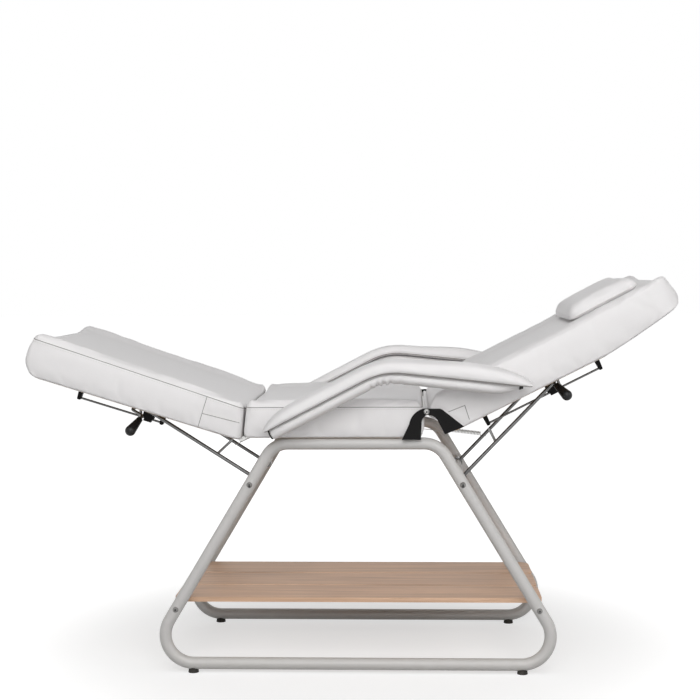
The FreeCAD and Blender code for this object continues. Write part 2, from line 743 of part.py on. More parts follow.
def strut_frame(end, section):
    """Frame of a support strut: X runs from its cross bar to the bar that the clamp carries."""
    pivot = CROSS_POINTS[("upper", end)]
    local = Vector(size(f"{end}_clamp_reach"), 0, size(f"{end}_bar_rise") - size(f"{end}_guide_drop"))
    run = section.multVec(local) - pivot
    rise = math.degrees(math.atan2(run.z, abs(run.x)))
    if run.x > 0:
        turn = Rotation(Vector(0, 1, 0), -rise)
    else:
        turn = Rotation(Vector(0, 1, 0), rise).multiply(Rotation(Vector(0, 0, 1), 180))
    return Placement(pivot, turn), run.Length


def build_strut(end, section):
    """U-shaped support of bent rod with eyes on the cross bar and a brace between its legs."""
    frame, length = strut_frame(end, section)
    half, eye = size("strut_half_width"), size("strut_eye_length") / 2
    start = (size("cross_radius") + size("strut_eye_radius")) / 2
    corners = [Vector(start, -half, 0), Vector(length, -half, 0),
               Vector(length, half, 0), Vector(start, half, 0)]
    line = bent_wire(corners, [0, size("strut_bend"), size("strut_bend"), 0])
    pieces = [swept_tube(f"{end}_strut_rod", line, "Sizes.strut_radius", frame)]
    reach = size(f"{end}_brace_reach")
    pieces.append(rod(f"{end}_strut_brace", Vector(reach, -half, 0), Vector(reach, half, 0),
                      "Sizes.strut_brace_radius", frame))
    bores = []
    for sign in SIDES.values():
        low, high = Vector(0, sign * half - eye, 0), Vector(0, sign * half + eye, 0)
        pieces.append(rod(f"{end}_strut_eye", low, high, "Sizes.strut_eye_radius", frame))
        past = Vector(0, CUT_PAST, 0)
        bores.append(rod(f"{end}_strut_bore", low - past, high + past,
                         "Sizes.cross_radius + Sizes.running_gap", frame))
    keep(cut(f"{end}_strut", fuse(f"{end}_strut_all", pieces), bores), f"{end}_strut")


def build_guide(end, section):
    """Guide rod under a section, held by two tapered brackets on the base's board."""
    roof = size("base_height") - size("base_board") - size(f"{end}_under")
    drop = -size(f"{end}_guide_drop")
    first, last = size(f"{end}_guide_start"), size(f"{end}_length") - size(f"{end}_guide_inset")
    over = size("bracket_foot")
    line = (Vector(first - over, 0, drop), Vector(last + over, 0, drop))
    keep(rod(f"{end}_guide_rod", *line, "Sizes.guide_radius", section), f"{end}_guide_rod")
    bore = rod(f"{end}_guide_bore", *line, "Sizes.guide_radius", section)
    top = roof - size("soft_gap") / 2
    for name, place_x in (("lower", first), ("upper", last)):
        foot, wide, bevel = size("bracket_foot"), size("bracket_top"), size("bracket_bevel")
        half = [(wide, top), (foot, drop - foot + bevel), (foot - bevel, drop - foot)]
        outline = [(place_x - x, z) for x, z in half] + [(place_x + x, z) for x, z in reversed(half)]
        arm = prism(f"{end}_{name}_bracket", outline, "Sizes.bracket_width", section)
        keep(cut(f"{end}_guide_bracket_{name}", arm, [bore]), f"{end}_guide_bracket_{name}")


def clamp_frame(end, section):
    """Frame at the middle of a clamp on its guide rod."""
    spot = Vector(size(f"{end}_clamp_reach"), 0, -size(f"{end}_guide_drop"))
    return section.multiply(Placement(spot, Rotation()))


def build_clamp(end, section):
    """Sliding clamp: a block bored for the guide rod, with an open fork for the strut's bar."""
    frame = clamp_frame(end, section)
    long, wide, tall = size("clamp_half_length"), size("clamp_half_width"), size("clamp_half_height")
    gap, finger, narrow = size("fork_gap"), size("fork_finger"), size("fork_half_width")
    root, floor = tall - size("fork_root"), size("fork_floor")
    top = size(f"{end}_bar_rise") + size(f"{end}_fork_above")
    pieces = [block(f"{end}_clamp_body", Vector(-long, -wide, -tall), Vector(long, wide, tall), frame),
              block(f"{end}_fork_floor", Vector(-gap - finger, -narrow, root),
                    Vector(gap + finger, narrow, floor), frame)]
    for low in (-gap - finger, gap):
        pieces.append(block(f"{end}_fork_finger", Vector(low, -narrow, root),
                            Vector(low + finger, narrow, top), frame))
    bore = rod(f"{end}_clamp_bore", Vector(-long - CUT_PAST, 0, 0), Vector(long + CUT_PAST, 0, 0),
               "Sizes.guide_radius + Sizes.running_gap", frame)
    keep(cut(f"{end}_clamp", fuse(f"{end}_clamp_all", pieces), [bore]), f"{end}_clamp")


def build_lever(end, section):
    """Release lever on the guide rod, reaching out to the near side, with its tapered grip."""
    frame = clamp_frame(end, section)
    out = -1 if end == "back" else 1
    start = size("fork_gap") + size("fork_finger") + size("soft_gap")
    stop = start + size("lever_collar_length")
    middle = (start + stop) / 2
    rise = size(f"{end}_lever_rise")
    knee = Vector(middle - size(f"{end}_lever_sweep"), out * size("lever_grip_out"), rise)
    lean, fall = math.radians(size("grip_lean")), math.radians(size("grip_droop"))
    droop = Vector(math.sin(lean), out * math.cos(lean) * math.cos(fall), -math.cos(lean) * math.sin(fall))
    neck = knee + droop * size("grip_start")
    root = size("lever_root")
    corners = [Vector(middle, out * root, root), Vector(middle, out * size("lever_knee_out"), rise),
               Vector(middle, out * size("lever_out"), rise), knee, neck + droop * size("grip_cover")]
    bends = [size("lever_knee_bend"), size("lever_out_bend"), size("lever_grip_bend")]
    line = bent_wire(corners, [0] + bends + [0])
    arm = swept_tube(f"{end}_lever_rod", line, "Sizes.lever_radius", frame)
    collar = rod(f"{end}_lever_collar", Vector(start, 0, 0), Vector(stop, 0, 0),
                 "Sizes.lever_collar_radius", frame)
    bore = rod(f"{end}_lever_bore", Vector(start - CUT_PAST, 0, 0), Vector(stop + CUT_PAST, 0, 0),
               "Sizes.guide_radius + Sizes.running_gap", frame)
    keep(cut(f"{end}_lever", fuse(f"{end}_lever_all", [arm, collar]), [bore]), f"{end}_lever")

    grip = doc.addObject("Part::Cone", f"{end}_grip_cone")
    bind(grip, Radius1="Sizes.grip_neck", Radius2="Sizes.grip_end", Height="Sizes.grip_length")
    place(grip, frame, along(neck, droop))
    knob = doc.addObject("Part::Sphere", f"{end}_grip_knob")
    bind(knob, Radius="Sizes.grip_end")
    place(knob, frame, Placement(neck + droop * size("grip_length"), Rotation()))
    socket = rod(f"{end}_grip_socket", neck - droop * CUT_PAST, neck + droop * size("grip_cover"),
                 "Sizes.lever_radius", frame)
    keep(cut(f"{end}_grip", fuse(f"{end}_grip_all", [grip, knob]), [socket]), f"{end}_grip")


def stud_top(end):
    """Point on the seat's underside where a spring stud hangs."""
    wall = size("cushion_wall") + size("base_rail") / 2
    reach = size("seat_rear") - wall if end == "back" else -size("seat_front") + wall
    return Vector(reach, size("strut_half_width"), SEAT_UNDER)


def stud_bar(end, name, radius):
    """Round bar of a spring stud, from its socket in the rail to its head."""
    top = stud_top(end) + Vector(0, 0, size("stud_grip"))
    return rod(f"{end}_stud_{name}", top, stud_top(end) - Vector(0, 0, size("stud_length")), radius, WORLD)


def build_spring_stud(end):
    """Stud under the seat's rail that holds a spring's eye."""
    low = stud_top(end) - Vector(0, 0, size("stud_length"))
    head = rod(f"{end}_stud_head", low, low - Vector(0, 0, size("stud_head_height")),
               "Sizes.stud_head", WORLD)
    keep(fuse(f"{end}_spring_stud", [stud_bar(end, "bar", "Sizes.stud_radius"), head]), f"{end}_spring_stud")


def tangent_arc(start, tangent, end):
    """Arc that leaves a point along a tangent and ends at another point."""
    chord = end - start
    side = tangent - chord * (tangent.dot(chord) / chord.dot(chord))
    turn = tangent.getAngle(chord)
    middle = start + chord / 2 + side.normalize() * (chord.Length / 2 * math.tan(turn / 2))
    return Part.Arc(start, middle, end).toShape()


def biarc(start, start_tangent, end, end_tangent):
    """Two arcs that join two points and keep the tangents there."""
    chord, total = end - start, start_tangent + end_tangent
    spread = 2 * (1 - start_tangent.dot(end_tangent))
    lean = chord.dot(total)
    reach = (math.sqrt(lean * lean + spread * chord.dot(chord)) - lean) / spread
    joint = (start + start_tangent * reach + end - end_tangent * reach) / 2
    last = tangent_arc(end, end_tangent * -1, joint)
    return [tangent_arc(start, start_tangent, joint), last]


def spring_wire(turns, pitch, radius, eye, lead):
    """Line of a tension spring along X: eye, turns of a helix, a straight lead and the second eye."""
    def ring(centre_x, start, stop):
        arcs = []
        count = round(abs(stop - start) / 90)
        for step in range(count):
            angles = [math.radians(start + (stop - start) * (step + share) / count) for share in (0, 0.5, 1)]
            arcs.append(Part.Arc(*[Vector(centre_x + eye * math.cos(angle), eye * math.sin(angle), -radius)
                                   for angle in angles]).toShape())
        return arcs

    per_turn = 4
    knots = []
    for step in range(int(turns) * per_turn + 1):
        angle = 2 * math.pi * step / per_turn
        climb = pitch / (2 * math.pi) if 0 < step < int(turns) * per_turn else 0.0
        point = Vector(pitch * step / per_turn, radius * math.sin(angle), -radius * math.cos(angle))
        knots.append((point, Vector(climb, radius * math.cos(angle), radius * math.sin(angle)).normalize()))
    edges = ring(-eye, -270, 0)
    for (start, start_tangent), (stop, stop_tangent) in zip(knots, knots[1:]):
        edges += biarc(start, start_tangent, stop, stop_tangent)
    length = pitch * int(turns)
    edges += ring(length + eye, 180, 90)
    edges.append(Part.LineSegment(Vector(length + eye, eye, -radius),
                                  Vector(length + eye + lead, eye, -radius)).toShape())
    edges += ring(length + eye + lead, 90, -90)
    return Part.Wire(edges)


def least_gap(wire, wire_radius, pitch):
    """Smallest free distance of a wound wire to itself, measured on points along it."""
    points = wire.discretize(Distance=pitch / 4)
    nearest = min((points[high] - points[low]).Length
                  for low in range(len(points)) for high in range(low + WIRE_NEIGHBOURS, len(points)))
    return nearest - 2 * wire_radius


def build_spring(end, section):
    """Tension spring from the strut's far leg to a stud under the seat, one unbroken wire."""
    frame, _ = strut_frame(end, section)
    far = 1 if end == "back" else -1
    hook = frame.multVec(Vector(size(f"{end}_spring_reach"), far * size("strut_half_width"), 0))
    anchor = stud_top(end) - Vector(0, 0, size("stud_length") - size("stud_eye_rise"))
    eye, lead, turns = size("spring_eye"), size(f"{end}_spring_lead"), size(f"{end}_spring_turns")
    slack = eye - size("stud_radius") - size("spring_wire") - size("soft_gap")
    run = anchor - hook
    run = run - Vector(run).normalize() * slack
    pitch = (run.Length - 2 * eye - lead) / int(turns)
    wire = spring_wire(turns, pitch, size("spring_radius"), eye, lead)
    print(f"{end}_spring least gap", round(least_gap(wire, size("spring_wire"), pitch), 2))
    axis_x = Vector(run).normalize()
    axis_y = Vector(0, math.copysign(1, run.x), 0)
    axis_z = axis_x.cross(axis_y)
    place_at = Placement(hook + axis_x * eye + axis_z * size("spring_radius"),
                         Rotation(axis_x, axis_y, axis_z, "XZY"))
    keep(swept_tube(f"{end}_spring", wire, "Sizes.spring_wire", place_at), f"{end}_spring")


def arm_line():
    """Corners of an arm tube in the chair's XZ plane, front end first."""
    return [(-size("arm_front_reach"), SEAT_UNDER + size("arm_front_rise")),
            (size("arm_bend_reach"), SEAT_UNDER + size("arm_bend_rise")),
            (size("arm_rear_reach"), SEAT_UNDER + size("arm_rear_rise"))]


def arm_stud_holes(name, radius):
    """Bars through the seat's side at the arm studs."""
    bars = []
    for side, sign in SIDES.items():
        for number, point in enumerate(arm_stud_points()):
            start = Vector(point[0], sign * (size("cushion_half_width") - size("cushion_wall") * 3), point[1])
            end = Vector(point[0], sign * ARM_OFFSET, point[1])
            bars.append(rod(f"{name}_{side}_{number}", start, end, radius, WORLD))
    return bars


def arm_stud_points():
    """Places on an arm's front run where it is fastened to the seat."""
    (x_low, z_low), (x_bend, z_bend), _ = arm_line()
    return [(x_low + share * (x_bend - x_low), z_low + share * (z_bend - z_low)) for share in ARM_STUD_SHARES]


def arm_path(sign, front_inset=0.0, rear_inset=0.0):
    """Line of an arm on one side, shortened by an inset at each end."""
    points = [Vector(x, sign * ARM_OFFSET, z) for x, z in arm_line()]
    points[0] = points[0] + (points[1] - points[0]).normalize() * front_inset
    points[2] = points[2] + (points[1] - points[2]).normalize() * rear_inset
    return bent_wire(points, [0, size("arm_bend"), 0])


def arm_station(wire, distance):
    """Placement on an arm's line at a distance from its front end, X along the line and Z up from it."""
    edges = wire.OrderedEdges
    edge, left = edges[0], distance
    for edge in edges:
        if left <= edge.Length or edge is edges[-1]:
            break
        left -= edge.Length
    inside = min(max(left, 0), edge.Length)
    parameter = edge.getParameterByLength(inside)
    ahead = edge.tangentAt(parameter)
    point = edge.valueAt(parameter) + ahead * (left - inside)
    return Placement(point, Rotation(ahead, Vector(0, 1, 0), ahead.cross(Vector(0, 1, 0)), "XZY"))


def tip_stations(face, inward, run, inset):
    """Stations of a pad's thin end as (place, share of the full thickness, inset of the sides)."""
    stations = []
    for turn in TIP_TURNS:
        angle = math.radians(turn)
        stations.append((face + inward * run * (1 - math.cos(angle)), math.sin(angle),
                         inset * (1 - math.sin(angle))))
    return stations


def build_arm_pad(side, sign):
    """Boomerang pad on top of an arm's sleeve, thinned at both ends and followed closely round the bend."""
    wire = arm_path(sign)
    length = wire.Length
    run, turn = wire.OrderedEdges[0].Length, wire.OrderedEdges[1].Length
    full, inset = size("arm_pad_thickness"), size("arm_pad_tip_inset")
    stations = tip_stations(-size("arm_pad_front_over"), 1, size("arm_pad_front_run"), inset)
    stations += [(run + turn * step / ARM_BEND_STEPS, 1.0, 0.0) for step in range(ARM_BEND_STEPS + 1)]
    stations.append((length - size("arm_pad_swell_reach"), 1 + size("arm_pad_swell") / full, 0.0))
    rear = length + size("arm_pad_rear_over")
    stations += reversed(tip_stations(rear, -1, size("arm_pad_rear_run"), inset))
    low = size("sleeve_radius") + size("soft_gap")
    wires, frames = [], []
    for distance, share, narrower in stations:
        tall = full * share
        half, crown = size("arm_pad_half_width") - narrower, size("arm_pad_crown") * share
        wires.append(padded_section(0, half, low, low + tall, crown, tall * PAD_LOW_ROUND,
                                    tall * PAD_TOP_ROUND))
        frames.append(arm_station(wire, distance))
    keep(lofted(f"arm_pad_{side}", wires, frames, ruled=True), f"arm_pad_{side}")


def sleeve_tail(side, wire):
    """Closed rear end of a sleeve past its tube, drawn up under the pad to a narrow tip."""
    full, narrowing = size("sleeve_radius"), size("sleeve_radius") - size("sleeve_tip")
    tip = wire.Length - size("sleeve_inset")
    rings, frames = [], []
    for share in TAIL_SHARES:
        radius = full - narrowing * share ** TAIL_POWER
        ring = Part.Circle(Vector(0, 0, full - radius), Vector(1, 0, 0), radius)
        rings.append(Part.Wire([ring.toShape()]))
        frames.append(arm_station(wire, tip - size("sleeve_tail") * (1 - share)))
    return lofted(f"sleeve_{side}_tail", rings, frames, ruled=True)


def end_plug(name, spot, out, cap_radius, stem_radius):
    """Plug in the end of an arm: a flat cap on a stem, facing out along the arm's line."""
    cap = rod(f"{name}_cap", Vector(), out * size("plug_cap"), cap_radius, spot)
    stem = rod(f"{name}_stem", out * -size("plug_depth"), Vector(), stem_radius, spot)
    return fuse(name, [cap, stem])


def build_arms():
    """Arm tubes in their sleeves, pads, end plugs and the studs that hold them to the seat."""
    rear_cut = size("sleeve_inset") + size("sleeve_tail")
    plugs, studs = [], []
    spacer_holes = arm_stud_holes("sleeve_room", "Sizes.arm_spacer_radius + Sizes.soft_gap")
    tube_holes = arm_stud_holes("tube_room", "Sizes.arm_stud_radius + Sizes.bolt_gap")
    bars = arm_stud_holes("arm_stud", "Sizes.arm_stud_radius")
    for side, sign in SIDES.items():
        wire = arm_path(sign)
        bare = arm_path(sign, 0, rear_cut + size("soft_gap"))
        pair = slice(0, 2) if sign < 0 else slice(2, 4)
        outer = swept_tube(f"arm_{side}_outer", bare, "Sizes.arm_tube_radius")
        inner = swept_tube(f"arm_{side}_inner", bare, "Sizes.arm_tube_radius - Sizes.arm_tube_wall")
        keep(cut(f"arm_tube_{side}", outer, [inner] + tube_holes[pair]), f"arm_tube_{side}")
        covered = arm_path(sign, size("sleeve_inset"), rear_cut)
        skin = swept_tube(f"sleeve_{side}_outer", covered, "Sizes.sleeve_radius")
        lining = swept_tube(f"sleeve_{side}_inner", covered, "Sizes.arm_tube_radius + Sizes.soft_gap")
        tip = arm_station(wire, wire.Length - size("sleeve_inset")).multiply(
            Placement(Vector(0, 0, size("sleeve_radius") - size("sleeve_tip")), Rotation()))
        ahead = Vector(1, 0, 0)
        socket_end = ahead * -(size("plug_depth") + size("bolt_gap"))
        socket = rod(f"sleeve_{side}_socket", socket_end, ahead * CUT_PAST,
                     "Sizes.tip_plug_radius + Sizes.bolt_gap", tip)
        cover = fuse(f"sleeve_{side}_cover", [skin, sleeve_tail(side, wire)])
        keep(cut(f"arm_sleeve_{side}", cover, [lining, socket] + spacer_holes[pair]), f"arm_sleeve_{side}")
        build_arm_pad(side, sign)
        plugs.append(end_plug(f"front_plug_{side}", arm_station(wire, 0), ahead * -1, "Sizes.arm_tube_radius",
                              "Sizes.arm_tube_radius - Sizes.arm_tube_wall - Sizes.bolt_gap"))
        plugs.append(end_plug(f"rear_plug_{side}", tip, ahead, "Sizes.sleeve_tip", "Sizes.tip_plug_radius"))
        for number, (x, z) in enumerate(arm_stud_points()):
            spacer = rod(f"spacer_{side}_{number}",
                         Vector(x, sign * (size("cushion_half_width") + size("soft_gap")), z),
                         Vector(x, sign * ARM_OFFSET, z), "Sizes.arm_spacer_radius", WORLD)
            studs.append(fuse(f"arm_stud_{side}_{number}",
                              [cut(f"spacer_{side}_{number}_saddle", spacer, [outer]), bars[pair][number]]))
    keep(group("arm_plugs", plugs), "arm_plugs")
    keep(group("arm_studs", studs), "arm_studs")


def pillow_section(place_x, half_width, thickness):
    """Cross-section of the pillow: its underside follows the crown of the back."""
    reach = size("cushion_half_width") - size("cushion_top_round")
    crown = size("back_crown")
    top_of_back = size("back_over") + crown + size("soft_gap")
    fall = crown * (half_width / reach) ** 2
    low = top_of_back - fall
    edge = low + thickness * PILLOW_EDGE
    bulge = (edge - low) * PILLOW_BULGE

    def point(y, z):
        return Vector(place_x, y, z)

    right, left, waist = half_width, -half_width, (low + edge) / 2
    arcs = [
        (point(left, low), point(0, top_of_back), point(right, low)),
        (point(right, low), point(right + bulge, waist), point(right, edge)),
        (point(right, edge), point(0, top_of_back + thickness), point(left, edge)),
        (point(left, edge), point(left - bulge, waist), point(left, low)),
    ]
    return Part.Wire([Part.Arc(*spots).toShape() for spots in arcs])


def build_pillow():
    """Loose head pillow lying on the back."""
    start, length = size("pillow_start"), size("pillow_length")
    inset = size("pillow_end_inset")
    stations = tip_stations(start, 1, length / 2, inset)
    stations += list(reversed(tip_stations(start + length, -1, length / 2, inset)))[1:]
    wires = [pillow_section(place_x, size("pillow_half_width") - narrower, size("pillow_thickness") * share)
             for place_x, share, narrower in stations]
    keep(lofted("pillow", wires, [BACK_FRAME] * len(wires), ruled=True), "pillow")


build_frame()
build_shelf()
build_seat()
build_back()
build_leg_rest()
build_hinge_plates()
build_leg_hinges()
for chair_end, chair_section in (("back", BACK_FRAME), ("leg", LEG_FRAME)):
    build_strut(chair_end, chair_section)
    build_guide(chair_end, chair_section)
    build_clamp(chair_end, chair_section)
    build_lever(chair_end, chair_section)
    build_spring_stud(chair_end)
    build_spring(chair_end, chair_section)
build_arms()
build_pillow()

doc.recompute()
faults = [thing.Label for thing in doc.Objects if "Invalid" in thing.State or "Error" in thing.State]
faults += [thing.Label for thing in nodes if thing.Shape.isNull() or not thing.Shape.isValid()]
if faults:
    raise RuntimeError("failed sub-parts: " + ", ".join(faults))
os.makedirs("parts", exist_ok=True)
for thing in nodes:
    thing.Shape.exportStep(f"parts/{thing.Label}.step")
    print(thing.Label, len(thing.Shape.Solids), round(thing.Shape.Volume / 1000, 1))
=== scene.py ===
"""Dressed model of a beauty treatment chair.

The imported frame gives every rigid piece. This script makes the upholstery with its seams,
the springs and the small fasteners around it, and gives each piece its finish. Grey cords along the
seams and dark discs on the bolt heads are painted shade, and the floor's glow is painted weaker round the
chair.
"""
from __future__ import annotations

import json
import logging
import math
from dataclasses import dataclass, field
from enum import Enum
from typing import Any, Iterable, Sequence

import bmesh
import bpy
import numpy as np
from mathutils import Matrix, Vector
from mathutils.bvhtree import BVHTree

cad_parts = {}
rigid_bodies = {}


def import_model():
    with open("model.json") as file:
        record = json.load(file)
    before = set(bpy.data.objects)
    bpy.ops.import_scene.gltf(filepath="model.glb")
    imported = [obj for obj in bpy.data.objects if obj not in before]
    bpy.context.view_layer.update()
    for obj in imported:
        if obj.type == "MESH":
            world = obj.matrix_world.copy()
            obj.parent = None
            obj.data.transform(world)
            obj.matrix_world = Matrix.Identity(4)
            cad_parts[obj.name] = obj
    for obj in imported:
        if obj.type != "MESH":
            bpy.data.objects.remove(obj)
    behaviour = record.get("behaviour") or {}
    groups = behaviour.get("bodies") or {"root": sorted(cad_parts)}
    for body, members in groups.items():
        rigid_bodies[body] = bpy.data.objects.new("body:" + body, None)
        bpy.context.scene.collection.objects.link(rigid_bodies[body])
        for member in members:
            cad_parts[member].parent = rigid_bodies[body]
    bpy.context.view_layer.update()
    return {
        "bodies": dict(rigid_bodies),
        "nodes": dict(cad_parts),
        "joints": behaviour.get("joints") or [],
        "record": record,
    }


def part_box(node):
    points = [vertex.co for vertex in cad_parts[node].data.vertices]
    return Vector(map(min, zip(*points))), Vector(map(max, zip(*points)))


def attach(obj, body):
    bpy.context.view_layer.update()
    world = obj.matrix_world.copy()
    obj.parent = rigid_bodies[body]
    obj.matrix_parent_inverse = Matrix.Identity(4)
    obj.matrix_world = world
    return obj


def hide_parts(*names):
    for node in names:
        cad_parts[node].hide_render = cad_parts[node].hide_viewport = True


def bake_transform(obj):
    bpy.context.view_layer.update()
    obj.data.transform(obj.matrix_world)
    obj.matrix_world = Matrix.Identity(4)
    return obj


LOG = logging.getLogger("treatment_chair")
ACROSS = Vector((0.0, 1.0, 0.0))
NEAR, FAR = -1, 1
SIDE_NAMES = {NEAR: "near", FAR: "far"}


class Slot(str, Enum):
    """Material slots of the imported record."""

    VINYL = "white_vinyl"
    PLYWOOD = "plywood"
    SHELF = "shelf_wood"
    COAT = "light_powder_coat"
    RUBBER = "black_rubber"
    PLASTIC = "black_plastic"
    BLACK = "black_powder_coat"
    STEEL = "dark_steel"
    ZINC = "zinc_steel"


# Node trees


class Graph:
    """A node tree with short ways to add and join nodes."""

    def __init__(self, tree: bpy.types.NodeTree) -> None:
        """Work on an existing tree, with room for a group's input and output nodes.

        Args:
            tree: The tree.
        """
        self.tree = tree
        self.start: bpy.types.Node | None = None
        self.end: bpy.types.Node | None = None

    def add(self, kind: str, inputs: dict[str | int, Any] | None = None, **settings: Any) -> bpy.types.Node:
        """Add one node.

        Args:
            kind: Blender's name of the node type.
            inputs: Values of its sockets, or sockets of other nodes to join to them, by name or number.
            settings: Properties of the node itself.

        Returns:
            The new node.
        """
        node = self.tree.nodes.new(kind)
        for name, value in settings.items():
            setattr(node, name, value)
        for name, value in (inputs or {}).items():
            if isinstance(value, bpy.types.NodeSocket):
                self.tree.links.new(value, node.inputs[name])
            else:
                node.inputs[name].default_value = value
        return node

    def group(self, tree: bpy.types.NodeTree, inputs: dict[str, Any]) -> bpy.types.Node:
        """Place a shared shader group with its own values.

        Args:
            tree: The group.
            inputs: Values of its inputs by name.

        Returns:
            The placed node.
        """
        node = self.add("ShaderNodeGroup", node_tree=tree)
        for name, value in inputs.items():
            node.inputs[name].default_value = value
        return node

    def join(self, source: bpy.types.NodeSocket, target: bpy.types.NodeSocket) -> None:
        """Link an output to an input."""
        self.tree.links.new(source, target)

    def place(self) -> bpy.types.NodeSocket:
        """Object coordinates of the surface."""
        return self.add("ShaderNodeTexCoord").outputs["Object"]

    def calc(self, operation: str, *values: float | bpy.types.NodeSocket) -> bpy.types.NodeSocket:
        """Result of one sum on numbers or sockets."""
        return self.add("ShaderNodeMath", dict(enumerate(values)), operation=operation).outputs[0]

    def noise(self, place: bpy.types.NodeSocket, scale: float | bpy.types.NodeSocket, detail: float,
              **more: float) -> bpy.types.NodeSocket:
        """Value of a noise over places."""
        inputs = {"Vector": place, "Scale": scale, "Detail": detail, **more}
        return self.add("ShaderNodeTexNoise", inputs).outputs["Fac"]

    def spread(self, value: bpy.types.NodeSocket, source: tuple, target: tuple = (0.0, 1.0),
               **settings: str) -> bpy.types.NodeSocket:
        """Value moved from one range to another.

        Args:
            value: Socket with the value.
            source: Both ends of the range that it has.
            target: Both ends of the range that it gets.
            settings: Properties of the node itself.

        Returns:
            The moved value.
        """
        inputs = {"Value": value, "From Min": source[0], "From Max": source[1], "To Min": target[0],
                  "To Max": target[1]}
        return self.add("ShaderNodeMapRange", inputs, **settings).outputs[0]

    def stretched(self, place: bpy.types.NodeSocket, stretch: Any) -> bpy.types.NodeSocket:
        """Places drawn out along the axes."""
        return self.add("ShaderNodeVectorMath", {0: place, 1: stretch}, operation="MULTIPLY").outputs[0]


def new_group(name: str, kind: str, inputs: dict[str, tuple], outputs: dict[str, str]) -> Graph:
    """Start a node group with named sockets.

    Args:
        name: Name of the group.
        kind: Type of the tree.
        inputs: Socket type and default value by input name.
        outputs: Socket type by output name.

    Returns:
        The group's graph, whose `start` and `end` are its input and output nodes.
    """
    tree = bpy.data.node_groups.new(name, kind)
    for label, (socket, default) in inputs.items():
        made = tree.interface.new_socket(name=label, in_out="INPUT", socket_type=socket)
        if default is not None:
            made.default_value = default
    for label, socket in outputs.items():
        tree.interface.new_socket(name=label, in_out="OUTPUT", socket_type=socket)
    graph = Graph(tree)
    graph.start = graph.add("NodeGroupInput")
    graph.end = graph.add("NodeGroupOutput")
    return graph


class SharedEffects:
    """Shader groups that several finishes use."""

    def __init__(self) -> None:
        """Build each group once."""
        self.drift = self._drift()
        self.relief = self._relief()
        self.wear = self._wear()
        self.dust = self._dust()

    @staticmethod
    def _drift() -> bpy.types.NodeTree:
        """Colour that drifts a little over the surface.

        Returns:
            The group's tree.
        """
        graph = new_group("colour_drift", "ShaderNodeTree", {
            "Colour": ("NodeSocketColor", (0.8, 0.8, 0.8, 1.0)), "Scale": ("NodeSocketFloat", 6.0),
            "Amount": ("NodeSocketFloat", 0.05)}, {"Colour": "NodeSocketColor"})
        given = graph.start.outputs
        shift = graph.calc("SUBTRACT", graph.noise(graph.place(), given["Scale"], 4.0), 0.5)
        tint = graph.add("ShaderNodeVectorMath", {0: given["Colour"]}, operation="SCALE")
        graph.join(graph.calc("MULTIPLY_ADD", shift, given["Amount"], 1.0), tint.inputs["Scale"])
        graph.join(tint.outputs["Vector"], graph.end.inputs["Colour"])
        return graph.tree

    @staticmethod
    def _relief() -> bpy.types.NodeTree:
        """Fine relief of a surface, with gloss that follows it.

        Returns:
            The group's tree.
        """
        graph = new_group("fine_relief", "ShaderNodeTree", {
            "Scale": ("NodeSocketFloat", 400.0), "Stretch": ("NodeSocketVector", (1.0, 1.0, 1.0)),
            "Roughness": ("NodeSocketFloat", 0.5), "Spread": ("NodeSocketFloat", 0.1)},
            {"Height": "NodeSocketFloat", "Roughness": "NodeSocketFloat"})
        given = graph.start.outputs
        height = graph.noise(graph.stretched(graph.place(), given["Stretch"]), given["Scale"], 3.0)
        shift = graph.calc("SUBTRACT", height, 0.5)
        graph.join(height, graph.end.inputs["Height"])
        graph.join(graph.calc("MULTIPLY_ADD", shift, given["Spread"], given["Roughness"]),
                   graph.end.inputs["Roughness"])
        return graph.tree

    @staticmethod
    def _mask(graph: Graph, share: bpy.types.NodeSocket, scale: float, detail: float) -> bpy.types.NodeTree:
        """Break a share up by noise and give it out as a group's mask.

        Args:
            graph: The group's graph, which has an Amount.
            share: How strong the effect is before it is broken up.
            scale: Scale of the noise.
            detail: Detail of the noise.

        Returns:
            The group's tree.
        """
        patch = graph.calc("MULTIPLY", share, graph.noise(graph.place(), scale, detail))
        graph.join(graph.calc("MULTIPLY", patch, graph.start.outputs["Amount"]), graph.end.inputs["Mask"])
        return graph.tree

    def _wear(self) -> bpy.types.NodeTree:
        """Mask of rubbed outer edges, broken up by noise.

        Returns:
            The group's tree.
        """
        graph = new_group("edge_wear", "ShaderNodeTree", {
            "Radius": ("NodeSocketFloat", 0.001), "Amount": ("NodeSocketFloat", 0.5)},
            {"Mask": "NodeSocketFloat"})
        soft = graph.add("ShaderNodeBevel", {"Radius": graph.start.outputs["Radius"]}, samples=4)
        flat = graph.add("ShaderNodeNewGeometry")
        same = graph.add("ShaderNodeVectorMath", {0: soft.outputs[0], 1: flat.outputs["Normal"]},
                         operation="DOT_PRODUCT")
        return self._mask(graph, graph.spread(same.outputs["Value"], (0.97, 0.75)), 90.0, 5.0)

    def _dust(self) -> bpy.types.NodeTree:
        """Mask of scuffs and dust that thins out above the floor.

        Returns:
            The group's tree.
        """
        graph = new_group("floor_dust", "ShaderNodeTree", {
            "Reach": ("NodeSocketFloat", 0.12), "Amount": ("NodeSocketFloat", 0.3)},
            {"Mask": "NodeSocketFloat"})
        parts = graph.add("ShaderNodeSeparateXYZ", {0: graph.place()})
        near = graph.spread(parts.outputs["Z"], (graph.start.outputs["Reach"], 0.0))
        return self._mask(graph, near, 35.0, 6.0)


# Finishes


def linear(red: int, green: int, blue: int) -> tuple[float, float, float, float]:
    """Turn a screen colour of 0 to 255 into a shader colour.

    Args:
        red: Red channel.
        green: Green channel.
        blue: Blue channel.

    Returns:
        The colour with full alpha.
    """
    def one(value: int) -> float:
        """Undo the screen's curve for one channel."""
        share = value / 255
        return share / 12.92 if share <= 0.04045 else ((share + 0.055) / 1.055) ** 2.4
    return one(red), one(green), one(blue), 1.0


